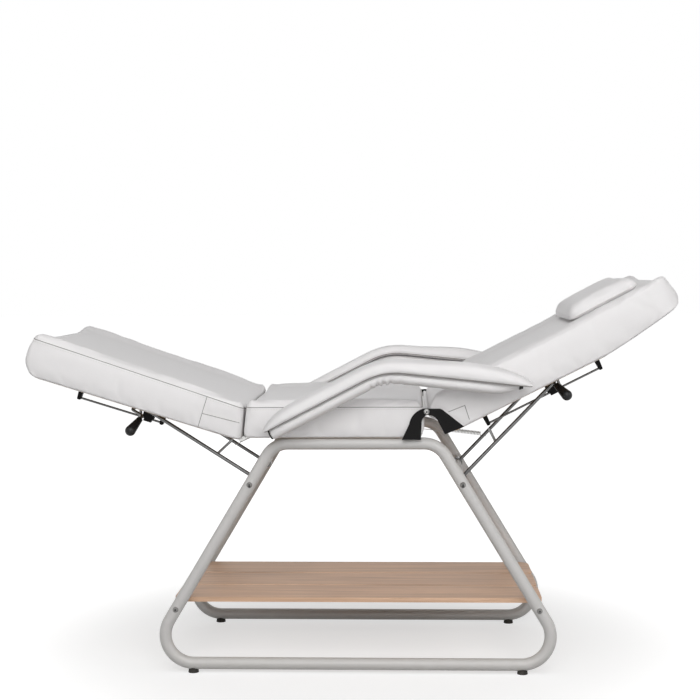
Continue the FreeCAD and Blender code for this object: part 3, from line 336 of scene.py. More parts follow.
@dataclass(frozen=True)
class Finish:
    """A painted or moulded surface with a fine relief."""

    name: str
    colour: tuple[float, float, float, float]
    roughness: float = 0.5
    gloss_spread: float = 0.12
    drift: float = 0.05
    drift_scale: float = 6.0
    relief_scale: float = 500.0
    relief_depth: float = 0.0001
    stretch: tuple[float, float, float] = (1.0, 1.0, 1.0)
    metallic: float = 0.0
    specular: float = 0.5
    edge_colour: tuple[float, float, float, float] | None = None
    edge_radius: float = 0.0012
    edge_amount: float = 0.5
    dust_amount: float = 0.0
    dust_colour: tuple[float, float, float, float] = linear(176, 170, 160)
    bump_strength: float = 0.6

    def colour_socket(self, graph: Graph, effects: SharedEffects) -> bpy.types.NodeSocket:
        """Give the colour before wear and dust."""
        values = {"Colour": self.colour, "Scale": self.drift_scale, "Amount": self.drift}
        return graph.group(effects.drift, values).outputs["Colour"]

    def height_socket(self, graph: Graph, relief: bpy.types.Node) -> bpy.types.NodeSocket:
        """Give the height that the bump reads."""
        return relief.outputs["Height"]

    def build(self, effects: SharedEffects) -> bpy.types.Material:
        """Make the material.

        Args:
            effects: The shared shader groups.

        Returns:
            The finished material.
        """
        material = bpy.data.materials.new(self.name)
        material.use_nodes = True
        graph = Graph(material.node_tree)
        shader = material.node_tree.nodes["Principled BSDF"]
        colour = self.colour_socket(graph, effects)
        if self.edge_colour:
            wear = graph.group(effects.wear, {"Radius": self.edge_radius, "Amount": self.edge_amount})
            colour = self._mix(graph, wear.outputs["Mask"], colour, self.edge_colour)
        if self.dust_amount:
            dust = graph.group(effects.dust, {"Amount": self.dust_amount})
            colour = self._mix(graph, dust.outputs["Mask"], colour, self.dust_colour)
        relief = graph.group(effects.relief, {"Scale": self.relief_scale, "Stretch": self.stretch,
                                              "Roughness": self.roughness, "Spread": self.gloss_spread})
        bump = graph.add("ShaderNodeBump", {"Height": self.height_socket(graph, relief),
                                            "Strength": self.bump_strength, "Distance": self.relief_depth})
        graph.join(colour, shader.inputs["Base Color"])
        graph.join(relief.outputs["Roughness"], shader.inputs["Roughness"])
        graph.join(bump.outputs[0], shader.inputs["Normal"])
        shader.inputs["Metallic"].default_value = self.metallic
        shader.inputs["Specular IOR Level"].default_value = self.specular
        return material

    @staticmethod
    def _mix(graph: Graph, mask: bpy.types.NodeSocket, colour: bpy.types.NodeSocket,
             over: tuple[float, float, float, float]) -> bpy.types.NodeSocket:
        """Lay a second colour over the first where a mask says so.

        Args:
            graph: The material's graph.
            mask: Where the second colour lies.
            colour: The first colour.
            over: The second colour.

        Returns:
            The mixed colour.
        """
        mix = graph.add("ShaderNodeMix", data_type="RGBA")
        graph.join(mask, mix.inputs["Factor"])
        graph.join(colour, mix.inputs["A"])
        mix.inputs["B"].default_value = over
        return mix.outputs["Result"]


@dataclass(frozen=True)
class VinylFinish(Finish):
    """Soft coated vinyl with a pebbled grain and slow waves of the foam below."""

    pebble_scale: float = 620.0
    wave_scale: float = 14.0
    wave_share: float = 3.0

    def height_socket(self, graph: Graph, relief: bpy.types.Node) -> bpy.types.NodeSocket:
        """Add the pebbles and the foam's waves to the fine relief.

        Args:
            graph: The material's graph.
            relief: The placed group of the fine relief.

        Returns:
            The height that the bump reads.
        """
        place = graph.place()
        pebbles = graph.add("ShaderNodeTexVoronoi", {"Vector": place, "Scale": self.pebble_scale})
        both = graph.calc("ADD", relief.outputs["Height"], pebbles.outputs["Distance"])
        return graph.calc("MULTIPLY_ADD", graph.noise(place, self.wave_scale, 1.0), self.wave_share, both)


@dataclass(frozen=True)
class WoodFinish(Finish):
    """Clear-coated board with grain along the chair."""

    grain_dark: tuple[float, float, float, float] = (0.3, 0.2, 0.12, 1.0)
    grain_scale: float = 5.0
    grain_stretch: tuple[float, float, float] = (0.35, 9.0, 9.0)
    pore_share: float = 9.0
    band_range: tuple[float, float] = (0.42, 0.72)
    band_depth: float = 0.42
    pore_range: tuple[float, float] = (0.52, 0.75)
    pore_depth: float = 0.55

    def colour_socket(self, graph: Graph, effects: SharedEffects) -> bpy.types.NodeSocket:
        """Run dark pores and slow bands of growth through the colour.

        Args:
            graph: The material's graph.
            effects: The shared shader groups.

        Returns:
            The colour before wear and dust.
        """
        base = super().colour_socket(graph, effects)
        drawn = graph.stretched(graph.place(), self.grain_stretch)
        bands = graph.noise(drawn, self.grain_scale, 3.0, Distortion=1.2)
        pores = graph.noise(drawn, self.grain_scale * self.pore_share, 6.0, Roughness=0.7)
        wide = graph.spread(bands, self.band_range, (0.0, self.band_depth))
        fine = graph.spread(pores, self.pore_range, (0.0, self.pore_depth))
        return self._mix(graph, graph.calc("MAXIMUM", wide, fine), base, self.grain_dark)


class Finishes:
    """Every material of the chair."""

    def __init__(self) -> None:
        """Build the shared groups and the materials."""
        effects = SharedEffects()
        recipes = {
            Slot.VINYL: VinylFinish("white_vinyl", linear(238, 236, 236), 0.44, 0.16, 0.025, 3.0, 900.0,
                                    0.00022, specular=0.22),
            Slot.PLYWOOD: WoodFinish("birch_plywood", linear(206, 178, 140), 0.62,
                                     grain_dark=linear(160, 124, 84)),
            Slot.SHELF: WoodFinish("shelf_wood", linear(222, 184, 154), 0.48, drift=0.16, drift_scale=4.0,
                                   grain_dark=linear(140, 103, 78)),
            Slot.COAT: Finish("light_powder_coat", linear(204, 202, 200), 0.38, 0.14, 0.03, 9.0, 1400.0,
                              0.00012, edge_colour=linear(168, 167, 164), edge_amount=0.25, dust_amount=0.35),
            Slot.RUBBER: Finish("black_rubber", linear(22, 22, 23), 0.72, 0.2, 0.2, 20.0, 700.0, 0.0002,
                                specular=0.15, edge_colour=linear(48, 47, 46), dust_amount=0.2),
            Slot.PLASTIC: Finish("black_plastic", linear(19, 19, 20), 0.36, 0.16, 0.12, 20.0, 1100.0, 0.00015,
                                 specular=0.25, edge_colour=linear(44, 44, 45)),
            Slot.BLACK: Finish("black_powder_coat", linear(15, 14, 14), 0.5, 0.18, 0.12, 14.0, 1500.0,
                               0.00016, specular=0.1, edge_colour=linear(70, 69, 67), edge_amount=0.6),
            Slot.STEEL: Finish("dark_steel", linear(104, 104, 104), 0.36, 0.2, 0.1, 30.0, 900.0, 0.00008,
                               metallic=0.85, stretch=(1.0, 8.0, 8.0)),
            Slot.ZINC: Finish("zinc_steel", linear(186, 186, 184), 0.3, 0.2, 0.08, 40.0, 700.0, 0.00006,
                              metallic=1.0),
        }
        self.by_slot = {slot: recipe.build(effects) for slot, recipe in recipes.items()}
        self.thread = VinylFinish("white_thread", linear(222, 220, 215), 0.7,
                                  relief_scale=2500.0).build(effects)
        self.piping = Finish("dark_piping", linear(132, 128, 125), 0.6, relief_scale=1800.0).build(effects)
        # Grey cords laid along the seams are painted shade: they stand in for the shadow in the seam creases.
        self.seam = Finish("seam_shadow", linear(150, 147, 145), 0.8, relief_scale=1800.0,
                           specular=0.1).build(effects)
        self.bolt = Finish("dulled_zinc", linear(132, 131, 129), 0.46, 0.2, 0.1, 40.0, 700.0, 0.00006,
                           metallic=0.9).build(effects)
        # Dark discs of painted shade that stand in for the shaded hollow of each bolt's hex socket.
        self.socket = Finish("socket_shadow", linear(34, 34, 35), 0.6).build(effects)

    def __getitem__(self, slot: Slot) -> bpy.types.Material:
        """Material of one slot."""
        return self.by_slot[slot]


# Mesh helpers


def link_mesh(name: str, mesh: bpy.types.Mesh) -> bpy.types.Object:
    """Put a mesh into the scene at the origin.

    Args:
        name: Name of the object.
        mesh: Its mesh.

    Returns:
        The new object.
    """
    piece = bpy.data.objects.new(name, mesh)
    bpy.context.scene.collection.objects.link(piece)
    return piece


def mesh_object(name: str, points: np.ndarray, faces: Sequence[Sequence[int]],
                edges: Sequence[Sequence[int]] = ()) -> bpy.types.Object:
    """Make an object from points in the chair's frame.

    Args:
        name: Name of the object.
        points: Its points.
        faces: Point numbers of each face.
        edges: Point numbers of each loose edge.

    Returns:
        The new object.
    """
    mesh = bpy.data.meshes.new(name)
    mesh.from_pydata([tuple(point) for point in points], list(edges), list(faces))
    mesh.update()
    return link_mesh(name, mesh)


def coordinates(mesh: bpy.types.Mesh) -> np.ndarray:
    """Read a mesh's points as rows of three numbers.

    Args:
        mesh: The mesh.

    Returns:
        One row for each point.
    """
    flat = np.empty(len(mesh.vertices) * 3, np.float64)
    mesh.vertices.foreach_get("co", flat)
    return flat.reshape(-1, 3)


def settle(piece: bpy.types.Object) -> bpy.types.Object:
    """Keep what an object's modifiers give as its plain mesh.

    Args:
        piece: The object.

    Returns:
        The same object without modifiers.
    """
    graph = bpy.context.evaluated_depsgraph_get()
    mesh = bpy.data.meshes.new_from_object(piece.evaluated_get(graph))
    piece.modifiers.clear()
    old, piece.data = piece.data, mesh
    bpy.data.meshes.remove(old)
    return piece


def face_outwards(piece: bpy.types.Object) -> None:
    """Turn every face of a closed mesh outwards.

    Args:
        piece: Object with the mesh.
    """
    work = bmesh.new()
    work.from_mesh(piece.data)
    bmesh.ops.recalc_face_normals(work, faces=work.faces)
    work.to_mesh(piece.data)
    work.free()


def subdivide(piece: bpy.types.Object, levels: int = 1) -> None:
    """Smooth a cover by subdivision and keep the result.

    Args:
        piece: The cover.
        levels: How often it is divided.
    """
    divided = piece.modifiers.new("smooth", "SUBSURF")
    divided.levels = divided.render_levels = levels
    settle(piece)


def smooth(piece: bpy.types.Object, sharp: float = 50.0) -> None:
    """Shade smoothly, with edges sharper than an angle in degrees left crisp."""
    piece.data.polygons.foreach_set("use_smooth", [True] * len(piece.data.polygons))
    piece.data.set_sharp_from_angle(angle=math.radians(sharp))


def surface_of(piece: bpy.types.Object) -> BVHTree:
    """Search tree of a finished mesh.

    Args:
        piece: Object with the mesh.

    Returns:
        The tree.
    """
    mesh = piece.data
    return BVHTree.FromPolygons([vertex.co for vertex in mesh.vertices],
                                [tuple(polygon.vertices) for polygon in mesh.polygons])


def finish_piece(piece: bpy.types.Object, material: bpy.types.Material, body: str,
                 replaced: Iterable[str] = ()) -> bpy.types.Object:
    """Give a piece its material and body, and hide the CAD nodes that it replaces.

    Args:
        piece: The finished object.
        material: What it is made of.
        body: CAD body that carries it.
        replaced: CAD nodes that it stands for.

    Returns:
        The same object.
    """
    piece.data.materials.clear()
    piece.data.materials.append(material)
    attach(piece, body)
    if replaced:
        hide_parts(*replaced)
    LOG.info("%s rides on %s", piece.name, body)
    return piece


class BoxSkin:
    """Closed skin of a box, divided into rows along its length, width and height."""

    def __init__(self, rows: tuple[np.ndarray, np.ndarray, np.ndarray]) -> None:
        """Number the points of the skin and join them into faces.

        Args:
            rows: Places of the rows along the length, the width and the height.
        """
        self.rows = rows
        self.counts = tuple(len(row) for row in rows)
        self.index: dict[tuple[int, int, int], int] = {}
        self.faces: list[tuple[int, ...]] = []
        for axis in range(3):
            for level in (0, self.counts[axis] - 1):
                self._panel(axis, level)

    def _panel(self, axis: int, level: int) -> None:
        """Add the faces of one side of the box.

        Args:
            axis: Axis that the side faces along.
            level: Row at which it lies.
        """
        one, two = [other for other in range(3) if other != axis]
        for row in range(self.counts[one] - 1):
            for column in range(self.counts[two] - 1):
                corners = []
                for step_one, step_two in ((0, 0), (1, 0), (1, 1), (0, 1)):
                    spot = [0, 0, 0]
                    spot[axis], spot[one], spot[two] = level, row + step_one, column + step_two
                    corners.append(self._number(tuple(spot)))
                self.faces.append(tuple(corners))

    def _number(self, spot: tuple[int, int, int]) -> int:
        """Number of a lattice point."""
        return self.index.setdefault(spot, len(self.index))

    def points(self) -> np.ndarray:
        """Places of the points in the box."""
        spots = sorted(self.index, key=self.index.get)
        return np.array([[self.rows[axis][spot[axis]] for axis in range(3)] for spot in spots])

    def ring(self, level: int) -> list[int]:
        """Numbers of the points round the box at one height, in order.

        Args:
            level: Row of the height, from the top where negative.

        Returns:
            The point numbers.
        """
        last_u, last_y = self.counts[0] - 1, self.counts[1] - 1
        level = level % self.counts[2]
        spots = [(u, 0) for u in range(last_u)] + [(last_u, y) for y in range(last_y)]
        spots += [(u, last_y) for u in range(last_u, 0, -1)] + [(0, y) for y in range(last_y, 0, -1)]
        return [self.index[(u, y, level)] for u, y in spots]

    def panel(self, axis: int, level: int) -> list[int]:
        """Numbers of the points on one side of the box."""
        level = level % self.counts[axis]
        return [number for spot, number in self.index.items() if spot[axis] == level]


def graded(length: float, first: float, last: float, step: float, start: float = 0.0) -> np.ndarray:
    """Rows along a length, closer together in the rounded stretches at its ends.

    Args:
        length: The whole length.
        first: Rounded stretch at the start.
        last: Rounded stretch at the end.
        step: Distance of the rows between them.
        start: Place of the first row.

    Returns:
        The places of the rows.
    """
    inner = max(2, round((length - first - last) / step))
    rows = [np.linspace(0, first, 4)[:-1], np.linspace(first, length - last, inner + 1)[:-1],
            np.linspace(length - last, length, 4)]
    return np.concatenate(rows) + start


@dataclass(frozen=True)
class BoxRounding:
    """Radii of a rounded box: along it at both ends, across it, at its top edge and at its lower edge."""

    start: float
    end: float
    side: float
    top: float
    low: float

    def radii(self, points: np.ndarray, half_length: float) -> np.ndarray:
        """Radii along length, width and height at points of the box.

        Args:
            points: Points on the box, from its centre.
            half_length: Half of its length.

        Returns:
            Three radii for each point.
        """
        share = np.clip(points[:, 0] / half_length / 2 + 0.5, 0, 1)
        along = self.start + (self.end - self.start) * share
        across = np.full_like(along, self.side)
        return np.stack([along, across, np.where(points[:, 2] < 0, self.low, self.top)], axis=1)


def rounded_box(points: np.ndarray, half: Sequence[float], rounding: BoxRounding) -> np.ndarray:
    """Round the edges and corners of a box's skin.

    Args:
        points: Points on the box, from its centre.
        half: Half of its length, width and height.
        rounding: Its radii.

    Returns:
        The moved points.
    """
    radius = rounding.radii(points, half[0])
    size, sign = np.abs(points), np.sign(points)
    core = np.array(half, float) - radius
    past = np.clip((size - core) / radius, 0, 1)
    square = past ** 2
    result = np.empty_like(points)
    for axis in range(3):
        one, two = square[:, (axis + 1) % 3], square[:, (axis + 2) % 3]
        share = np.sqrt(1 - one / 2 - two / 2 + one * two / 3)
        reach = np.minimum(size[:, axis], core[:, axis]) + radius[:, axis] * past[:, axis] * share
        result[:, axis] = sign[:, axis] * reach
    return result


@dataclass(frozen=True)
class ClothPuff:
    """How a cover swells over its foam while its seams are held."""

    pressure: float = 4.0
    frames: int = 14
    slack: float = 0.012
    stretch: float = 14.0
    shear: float = 6.0
    bending: float = 0.4
    quality: int = 4

    def swell(self, piece: bpy.types.Object, held: Iterable[int], cap: float) -> None:
        """Run the cloth and keep its shape in the mesh.

        Args:
            piece: The cover before it swells.
            held: Points that the seams and the base hold.
            cap: Farthest that a point may move.
        """
        scene = bpy.context.scene
        rest = coordinates(piece.data)
        pins = piece.vertex_groups.new(name="held")
        pins.add(sorted(set(held)), 1.0, "REPLACE")
        cloth = piece.modifiers.new("cloth", "CLOTH")
        cloth.settings.quality = self.quality
        cloth.settings.tension_stiffness = cloth.settings.compression_stiffness = self.stretch
        cloth.settings.shear_stiffness = self.shear
        cloth.settings.bending_stiffness = self.bending
        cloth.settings.shrink_min = -self.slack
        cloth.settings.use_pressure = True
        cloth.settings.uniform_pressure_force = self.pressure
        cloth.settings.effector_weights.gravity = 0
        cloth.settings.vertex_group_mass = pins.name
        cloth.collision_settings.use_collision = False
        cloth.point_cache.frame_start, cloth.point_cache.frame_end = 1, self.frames
        for number in range(1, self.frames + 1):
            scene.frame_set(number)
        graph = bpy.context.evaluated_depsgraph_get()
        swollen = piece.evaluated_get(graph)
        moved = coordinates(swollen.to_mesh()) - rest
        swollen.to_mesh_clear()
        piece.modifiers.remove(cloth)
        piece.vertex_groups.remove(pins)
        scene.frame_set(1)
        length = np.linalg.norm(moved, axis=1, keepdims=True)
        final = rest + moved * np.minimum(1, cap / np.maximum(length, 1e-9))
        piece.data.vertices.foreach_set("co", final.astype(np.float32).ravel())
        piece.data.update()


# Seams and fasteners


class TrimNodes:
    """Geometry node trees for what follows a line or repeats."""

    RIM_SHARE = 0.8

    def __init__(self) -> None:
        """Build each tree once."""
        self.cord = self._cord()
        self.stitches = self._stitches()
        self.heads = self._heads()

    @staticmethod
    def _start(name: str, inputs: dict[str, tuple]) -> Graph:
        """Begin a tree that takes and gives geometry.

        Args:
            name: Name of the tree.
            inputs: Socket type and default value by input name, besides the geometry and the material.

        Returns:
            The tree's graph.
        """
        return new_group(name, "GeometryNodeTree", {"Geometry": ("NodeSocketGeometry", None), **inputs,
                                                    "Material": ("NodeSocketMaterial", None)},
                         {"Geometry": "NodeSocketGeometry"})

    @staticmethod
    def _end(graph: Graph, geometry: bpy.types.NodeSocket) -> bpy.types.NodeTree:
        """Finish a tree with real geometry and its material.

        Args:
            graph: The tree's graph.
            geometry: What the tree made.

        Returns:
            The finished tree.
        """
        real = graph.add("GeometryNodeRealizeInstances", {"Geometry": geometry})
        soft = graph.add("GeometryNodeSetShadeSmooth", {"Geometry": real.outputs[0]})
        painted = graph.add("GeometryNodeSetMaterial", {"Geometry": soft.outputs[0],
                                                        "Material": graph.start.outputs["Material"]})
        graph.join(painted.outputs[0], graph.end.inputs["Geometry"])
        return graph.tree

    def _cord(self) -> bpy.types.NodeTree:
        """Round cord along a line.

        Returns:
            The finished tree.
        """
        graph = self._start("sewn_cord", {"Radius": ("NodeSocketFloat", 0.002)})
        line = graph.add("GeometryNodeMeshToCurve", {"Mesh": graph.start.outputs["Geometry"]})
        ring = graph.add("GeometryNodeCurvePrimitiveCircle", {
            "Resolution": 8, "Radius": graph.start.outputs["Radius"]})
        tube = graph.add("GeometryNodeCurveToMesh", {
            "Curve": line.outputs[0], "Profile Curve": ring.outputs[0], "Fill Caps": True})
        return self._end(graph, tube.outputs[0])

    def _stitches(self) -> bpy.types.NodeTree:
        """Row of short stitches along a line.

        Returns:
            The finished tree.
        """
        graph = self._start("stitch_row", {
            "Spacing": ("NodeSocketFloat", 0.006), "Length": ("NodeSocketFloat", 0.004),
            "Radius": ("NodeSocketFloat", 0.0005)})
        given = graph.start.outputs
        line = graph.add("GeometryNodeMeshToCurve", {"Mesh": given["Geometry"]})
        spots = graph.add("GeometryNodeCurveToPoints", {
            "Curve": line.outputs[0], "Length": given["Spacing"]}, mode="LENGTH")
        half = graph.calc("MULTIPLY", given["Length"], 0.5)
        size = graph.add("ShaderNodeCombineXYZ", {"X": given["Radius"], "Y": given["Radius"], "Z": half})
        bead = graph.add("GeometryNodeMeshUVSphere", {"Segments": 6, "Rings": 4, "Radius": 1.0})
        sewn = graph.add("GeometryNodeInstanceOnPoints", {
            "Points": spots.outputs["Points"], "Instance": bead.outputs["Mesh"],
            "Rotation": spots.outputs["Rotation"], "Scale": size.outputs[0]})
        return self._end(graph, sewn.outputs[0])

    def _heads(self) -> bpy.types.NodeTree:
        """Small round or six-sided heads on points, each facing along its own direction.

        Returns:
            The finished tree.
        """
        graph = self._start("fastener_heads", {
            "Sides": ("NodeSocketInt", 16), "Radius": ("NodeSocketFloat", 0.003),
            "Height": ("NodeSocketFloat", 0.001)})
        given = graph.start.outputs
        facing = graph.add("GeometryNodeInputNamedAttribute", {"Name": "facing"}, data_type="FLOAT_VECTOR")
        turn = graph.add("FunctionNodeAlignRotationToVector", {
            "Vector": facing.outputs["Attribute"]}, axis="Z")
        head = graph.add("GeometryNodeMeshCone", {
            "Vertices": given["Sides"], "Radius Bottom": given["Radius"], "Depth": given["Height"],
            "Radius Top": graph.calc("MULTIPLY", given["Radius"], self.RIM_SHARE)})
        set_heads = graph.add("GeometryNodeInstanceOnPoints", {
            "Points": given["Geometry"], "Instance": head.outputs["Mesh"],
            "Rotation": turn.outputs[0]})
        return self._end(graph, set_heads.outputs[0])

    @staticmethod
    def run(piece: bpy.types.Object, tree: bpy.types.NodeTree, values: dict[str, Any]) -> bpy.types.Object:
        """Run a tree on an object and keep the result as a plain mesh.

        Args:
            piece: Object that holds the line or the points.
            tree: One of these trees.
            values: Values of the tree's inputs by name.

        Returns:
            The same object with its new mesh.
        """
        modifier = piece.modifiers.new(tree.name, "NODES")
        modifier.node_group = tree
        names = {item.name: item.identifier for item in tree.interface.items_tree if item.in_out == "INPUT"}
        for name, value in values.items():
            modifier[names[name]] = value
        return settle(piece)


@dataclass(frozen=True)
class SeamLine:
    """A sewn line on a cover."""

    points: tuple[Vector, ...]
    closed: bool = False

    def laid_on(self, surface: BVHTree, lift: float) -> SeamLine:
        """Bring the line onto a finished surface, lifted off it by a little.

        Args:
            surface: Search tree of the surface.
            lift: How far the line lies off it.

        Returns:
            The line on the surface.
        """
        laid = []
        for point in self.points:
            spot, normal, _, _ = surface.find_nearest(point)
            laid.append(spot + normal * lift)
        return SeamLine(tuple(laid), self.closed)

    def object(self, name: str) -> bpy.types.Object:
        """Edges along the line as an object."""
        return join_lines(name, [self])


def join_lines(name: str, lines: Sequence[SeamLine]) -> bpy.types.Object:
    """Several lines as the edges of one object.

    Args:
        name: Name of the object.
        lines: The lines.

    Returns:
        The new object.
    """
    points, edges = [], []
    for line in lines:
        first = len(points)
        points += [tuple(point) for point in line.points]
        edges += [(first + number, first + number + 1) for number in range(len(line.points) - 1)]
        if line.closed:
            edges.append((len(points) - 1, first))
    return mesh_object(name, np.array(points), [], edges)


# Upholstered sections


@dataclass(frozen=True)
class SectionFrame:
    """Axes of one upholstered section: u along it, y across the chair and n up from it."""

    origin: Vector
    along: Vector
    up: Vector

    def places(self, local: np.ndarray) -> np.ndarray:
        """Places in the chair of points given as u, y and n."""
        axes = np.array([tuple(self.along), tuple(ACROSS), tuple(self.up)])
        return np.array(tuple(self.origin)) + local @ axes

    def point(self, u: float, y: float, n: float) -> Vector:
        """Place in the chair of one point."""
        return self.origin + self.along * u + ACROSS * y + self.up * n

    def extent(self, node: bpy.types.Object) -> tuple[np.ndarray, np.ndarray]:
        """Lowest and highest u, y and n of a CAD node.

        Args:
            node: The node.

        Returns:
            Both corners of its box in the section.
        """
        offset = coordinates(node.data) - np.array(tuple(self.origin))
        axes = np.array([tuple(self.along), tuple(ACROSS), tuple(self.up)])
        local = offset @ axes.T
        return local.min(0), local.max(0)


@dataclass(frozen=True)
class EndCurve:
    """Side view of a cushion's end: how far its top and its underside draw back from its fullest place."""

    top: float
    low: float
    flat_low: float = 0.35
    flat_high: float = 0.6
    power: float = 2.0

    def inset(self, height: np.ndarray) -> np.ndarray:
        """Distance back from the fullest place at a share of the height.

        Args:
            height: Shares of the height, from 0 at the underside to 1 at the top.

        Returns:
            The distances.
        """
        above = np.clip((height - self.flat_high) / (1 - self.flat_high), 0, 1)
        below = np.clip((self.flat_low - height) / self.flat_low, 0, 1)
        return self.top * above ** self.power + self.low * below ** self.power


@dataclass
class Cushion:
    """One upholstered section: a boxed cover over foam on its wooden base."""

    name: str
    node: str
    base: str
    body: str
    section: SectionFrame
    crest: float
    dish: float
    start: EndCurve
    end: EndCurve
    climb: float = 0.0
    roll_inner: float = 0.085
    roll_outer: float = 0.016
    corner_run: float = 0.0
    taper_start: float | None = None
    taper_rise: float = 0.0
    side_seams: tuple[tuple[tuple[float, float], ...], ...] = ()
    rounding: BoxRounding = BoxRounding(0.009, 0.009, 0.018, 0.018, 0.008)
    reach_start: float = 0.0
    reach_end: float = 0.0
    draw: float = 0.005
    draw_low: float = 0.4
    step: float = 0.0125
    puff_cap: float = 0.004
    side_trim: float = 0.003
    seam_radius: float = 0.0009
    seam_lift: float = 0.1
    stitch_drop: float = 0.006
    stitch_spacing: float = 0.007
    stitch_length: float = 0.0048
    stitch_radius: float = 0.0006
    top_seam: bool = True
    hinge_roll: float = 0.0
    roll_short: float = 0.014
    held_start: bool = True
    held_end: bool = False
    fill: float = 0.85
    u_first: float = field(init=False)
    u_last: float = field(init=False)
    half_width: float = field(init=False)
    low: float = field(init=False)
    base_low: np.ndarray = field(init=False)
    base_high: np.ndarray = field(init=False)

    def measure(self, nodes: dict[str, bpy.types.Object]) -> None:
        """Take the cushion's reach and width from its CAD solid.

        Args:
            nodes: CAD nodes by name.
        """
        low, high = self.section.extent(nodes[self.node])
        self.u_first, self.u_last = float(low[0]) - self.reach_start, float(high[0]) + self.reach_end
        self.half_width = float(high[1]) - self.side_trim
        self.low = float(low[2])
        self.base_low, self.base_high = self.section.extent(nodes[self.base])

    def underside(self, u: np.ndarray) -> np.ndarray:
        """Line of the underside along the section.

        Args:
            u: Places along the section.

        Returns:
            Height of the underside at each.
        """
        line = np.full_like(u, self.low)
        if self.taper_start is not None:
            share = np.clip((u - self.taper_start) / (self.u_last - self.taper_start), 0, 1)
            line = line + self.taper_rise * share ** 1.25
        return line

    def dish_at(self, y: np.ndarray) -> np.ndarray:
        """How far the top lies below its rolled side edges at places across it.

        Args:
            y: Places across the chair.

        Returns:
            The depth at each.
        """
        inward = self.half_width - np.abs(y) - self.roll_outer
        share = np.clip(inward / (self.roll_inner - self.roll_outer), 0, 1)
        return self.dish * share ** 2 * (3 - 2 * share)

    def top_at(self, u: np.ndarray, y: np.ndarray) -> np.ndarray:
        """Height of the top before its cover swells."""
        return self.crest + self.climb * u - self.dish_at(y)

    def half_at(self, u: np.ndarray) -> np.ndarray:
        """Half width along the section, drawn in where the last corners are rounded in plan.

        Args:
            u: Places along the section.

        Returns:
            Half of the width at each.
        """
        if not self.corner_run:
            return np.full_like(u, self.half_width)
        past = np.clip((u - self.u_last + self.corner_run) / self.corner_run, 0, 0.98)
        return self.half_width - self.corner_run * (1 - np.sqrt(1 - past ** 2))

    def place(self, box: np.ndarray) -> np.ndarray:
        """Shape the rounded box into the cushion.

        Args:
            box: Points of the rounded box, from its centre.

        Returns:
            Their places in the chair.
        """
        length, tall = self.u_last - self.u_first, self.crest - self.low
        share = box[:, 0] / length + 0.5
        width = box[:, 1] / self.half_width
        height = np.clip(box[:, 2] / tall + 0.5, 0, 1)
        first = self.u_first + self.start.inset(height)
        last = self.u_last - self.end.inset(height)
        u = first + share * (last - first)
        low = self.underside(u)
        top = self.crest + self.climb * u
        n = low + height * (top - low) - self.dish_at(box[:, 1]) * height ** 3
        pulled = self.draw * 4 * share * (1 - share) * (self.draw_low + (1 - self.draw_low) * height)
        y = width * (self.half_at(u) - pulled)
        return self.section.places(np.stack([u, y, n], axis=1))

    def side_lines(self) -> list[SeamLine]:
        """Seams sewn across the boxing on both sides.

        Returns:
            One line for each seam and side.
        """
        lines = []
        for side in (NEAR, FAR):
            for corners in self.side_seams:
                points = []
                for (u_one, n_one), (u_two, n_two) in zip(corners, corners[1:]):
                    steps = max(2, round(math.hypot(u_two - u_one, n_two - n_one) / self.step))
                    for number in range(steps + 1):
                        part = number / steps
                        u, n = u_one + (u_two - u_one) * part, n_one + (n_two - n_one) * part
                        points.append(self.section.point(u, side * self.half_width, n))
                lines.append(SeamLine(tuple(points)))
        return lines

    def build(self, nodes: dict[str, bpy.types.Object], finishes: Finishes, trim: TrimNodes) -> None:
        """Make the cover, the grey cords of painted shade along its seams, and its stitches.

        Args:
            nodes: CAD nodes by name.
            finishes: The chair's materials.
            trim: Node trees for seams.
        """
        self.measure(nodes)
        length, tall = self.u_last - self.u_first, self.crest - self.low
        half = (length / 2, self.half_width, tall / 2)
        corner = self.rounding
        skin = BoxSkin((graded(length, corner.start, corner.end, self.step, -half[0]),
                        graded(2 * half[1], corner.side, corner.side, self.step, -half[1]),
                        graded(tall, corner.low, corner.top, self.step, -half[2])))
        box = rounded_box(skin.points(), half, corner)
        places = self.place(box)
        cover = mesh_object(self.name, places, skin.faces)
        face_outwards(cover)
        top = SeamLine(tuple(Vector(places[number]) for number in skin.ring(-4)), closed=True)
        held = skin.ring(-4) + skin.panel(2, 0) + skin.ring(1)
        if self.held_start:
            held += skin.panel(0, 0)
        if self.held_end:
            held += skin.panel(0, -1)
        held += self._nearest(places, self.side_lines())
        ClothPuff().swell(cover, held, self.puff_cap)
        subdivide(cover)
        self._sew(cover, top, finishes, trim)
        self._open_underside(cover)
        smooth(cover)
        finish_piece(cover, finishes[Slot.VINYL], self.body, [self.node])

    @staticmethod
    def _nearest(places: np.ndarray, lines: Iterable[SeamLine]) -> list[int]:
        """Cover points that lie under sewn lines."""
        return [int(np.argmin(np.sum((places - np.array(tuple(point))) ** 2, axis=1)))
                for line in lines for point in line.points]

    def _open_underside(self, cover: bpy.types.Object, gap: float = 0.0003) -> None:
        """Cut the room for the wooden base out of the cover's underside.

        Args:
            cover: The cover.
            gap: Clearance round the base.
        """
        (u_one, y_one, _), (u_two, y_two, top) = self.base_low, self.base_high
        below = self.low - 0.02
        corners = np.array([(u, y, n) for u in (u_one - gap, u_two + gap) for y in (y_one - gap, y_two + gap)
                            for n in (below, top + gap)])
        faces = [(0, 1, 3, 2), (4, 6, 7, 5), (0, 4, 5, 1), (2, 3, 7, 6), (0, 2, 6, 4), (1, 5, 7, 3)]
        cutter = mesh_object("base_room", self.section.places(corners), faces)
        face_outwards(cutter)
        room = cover.modifiers.new("base_room", "BOOLEAN")
        room.operation, room.object, room.solver = "DIFFERENCE", cutter, "EXACT"
        settle(cover)
        bpy.data.objects.remove(cutter)

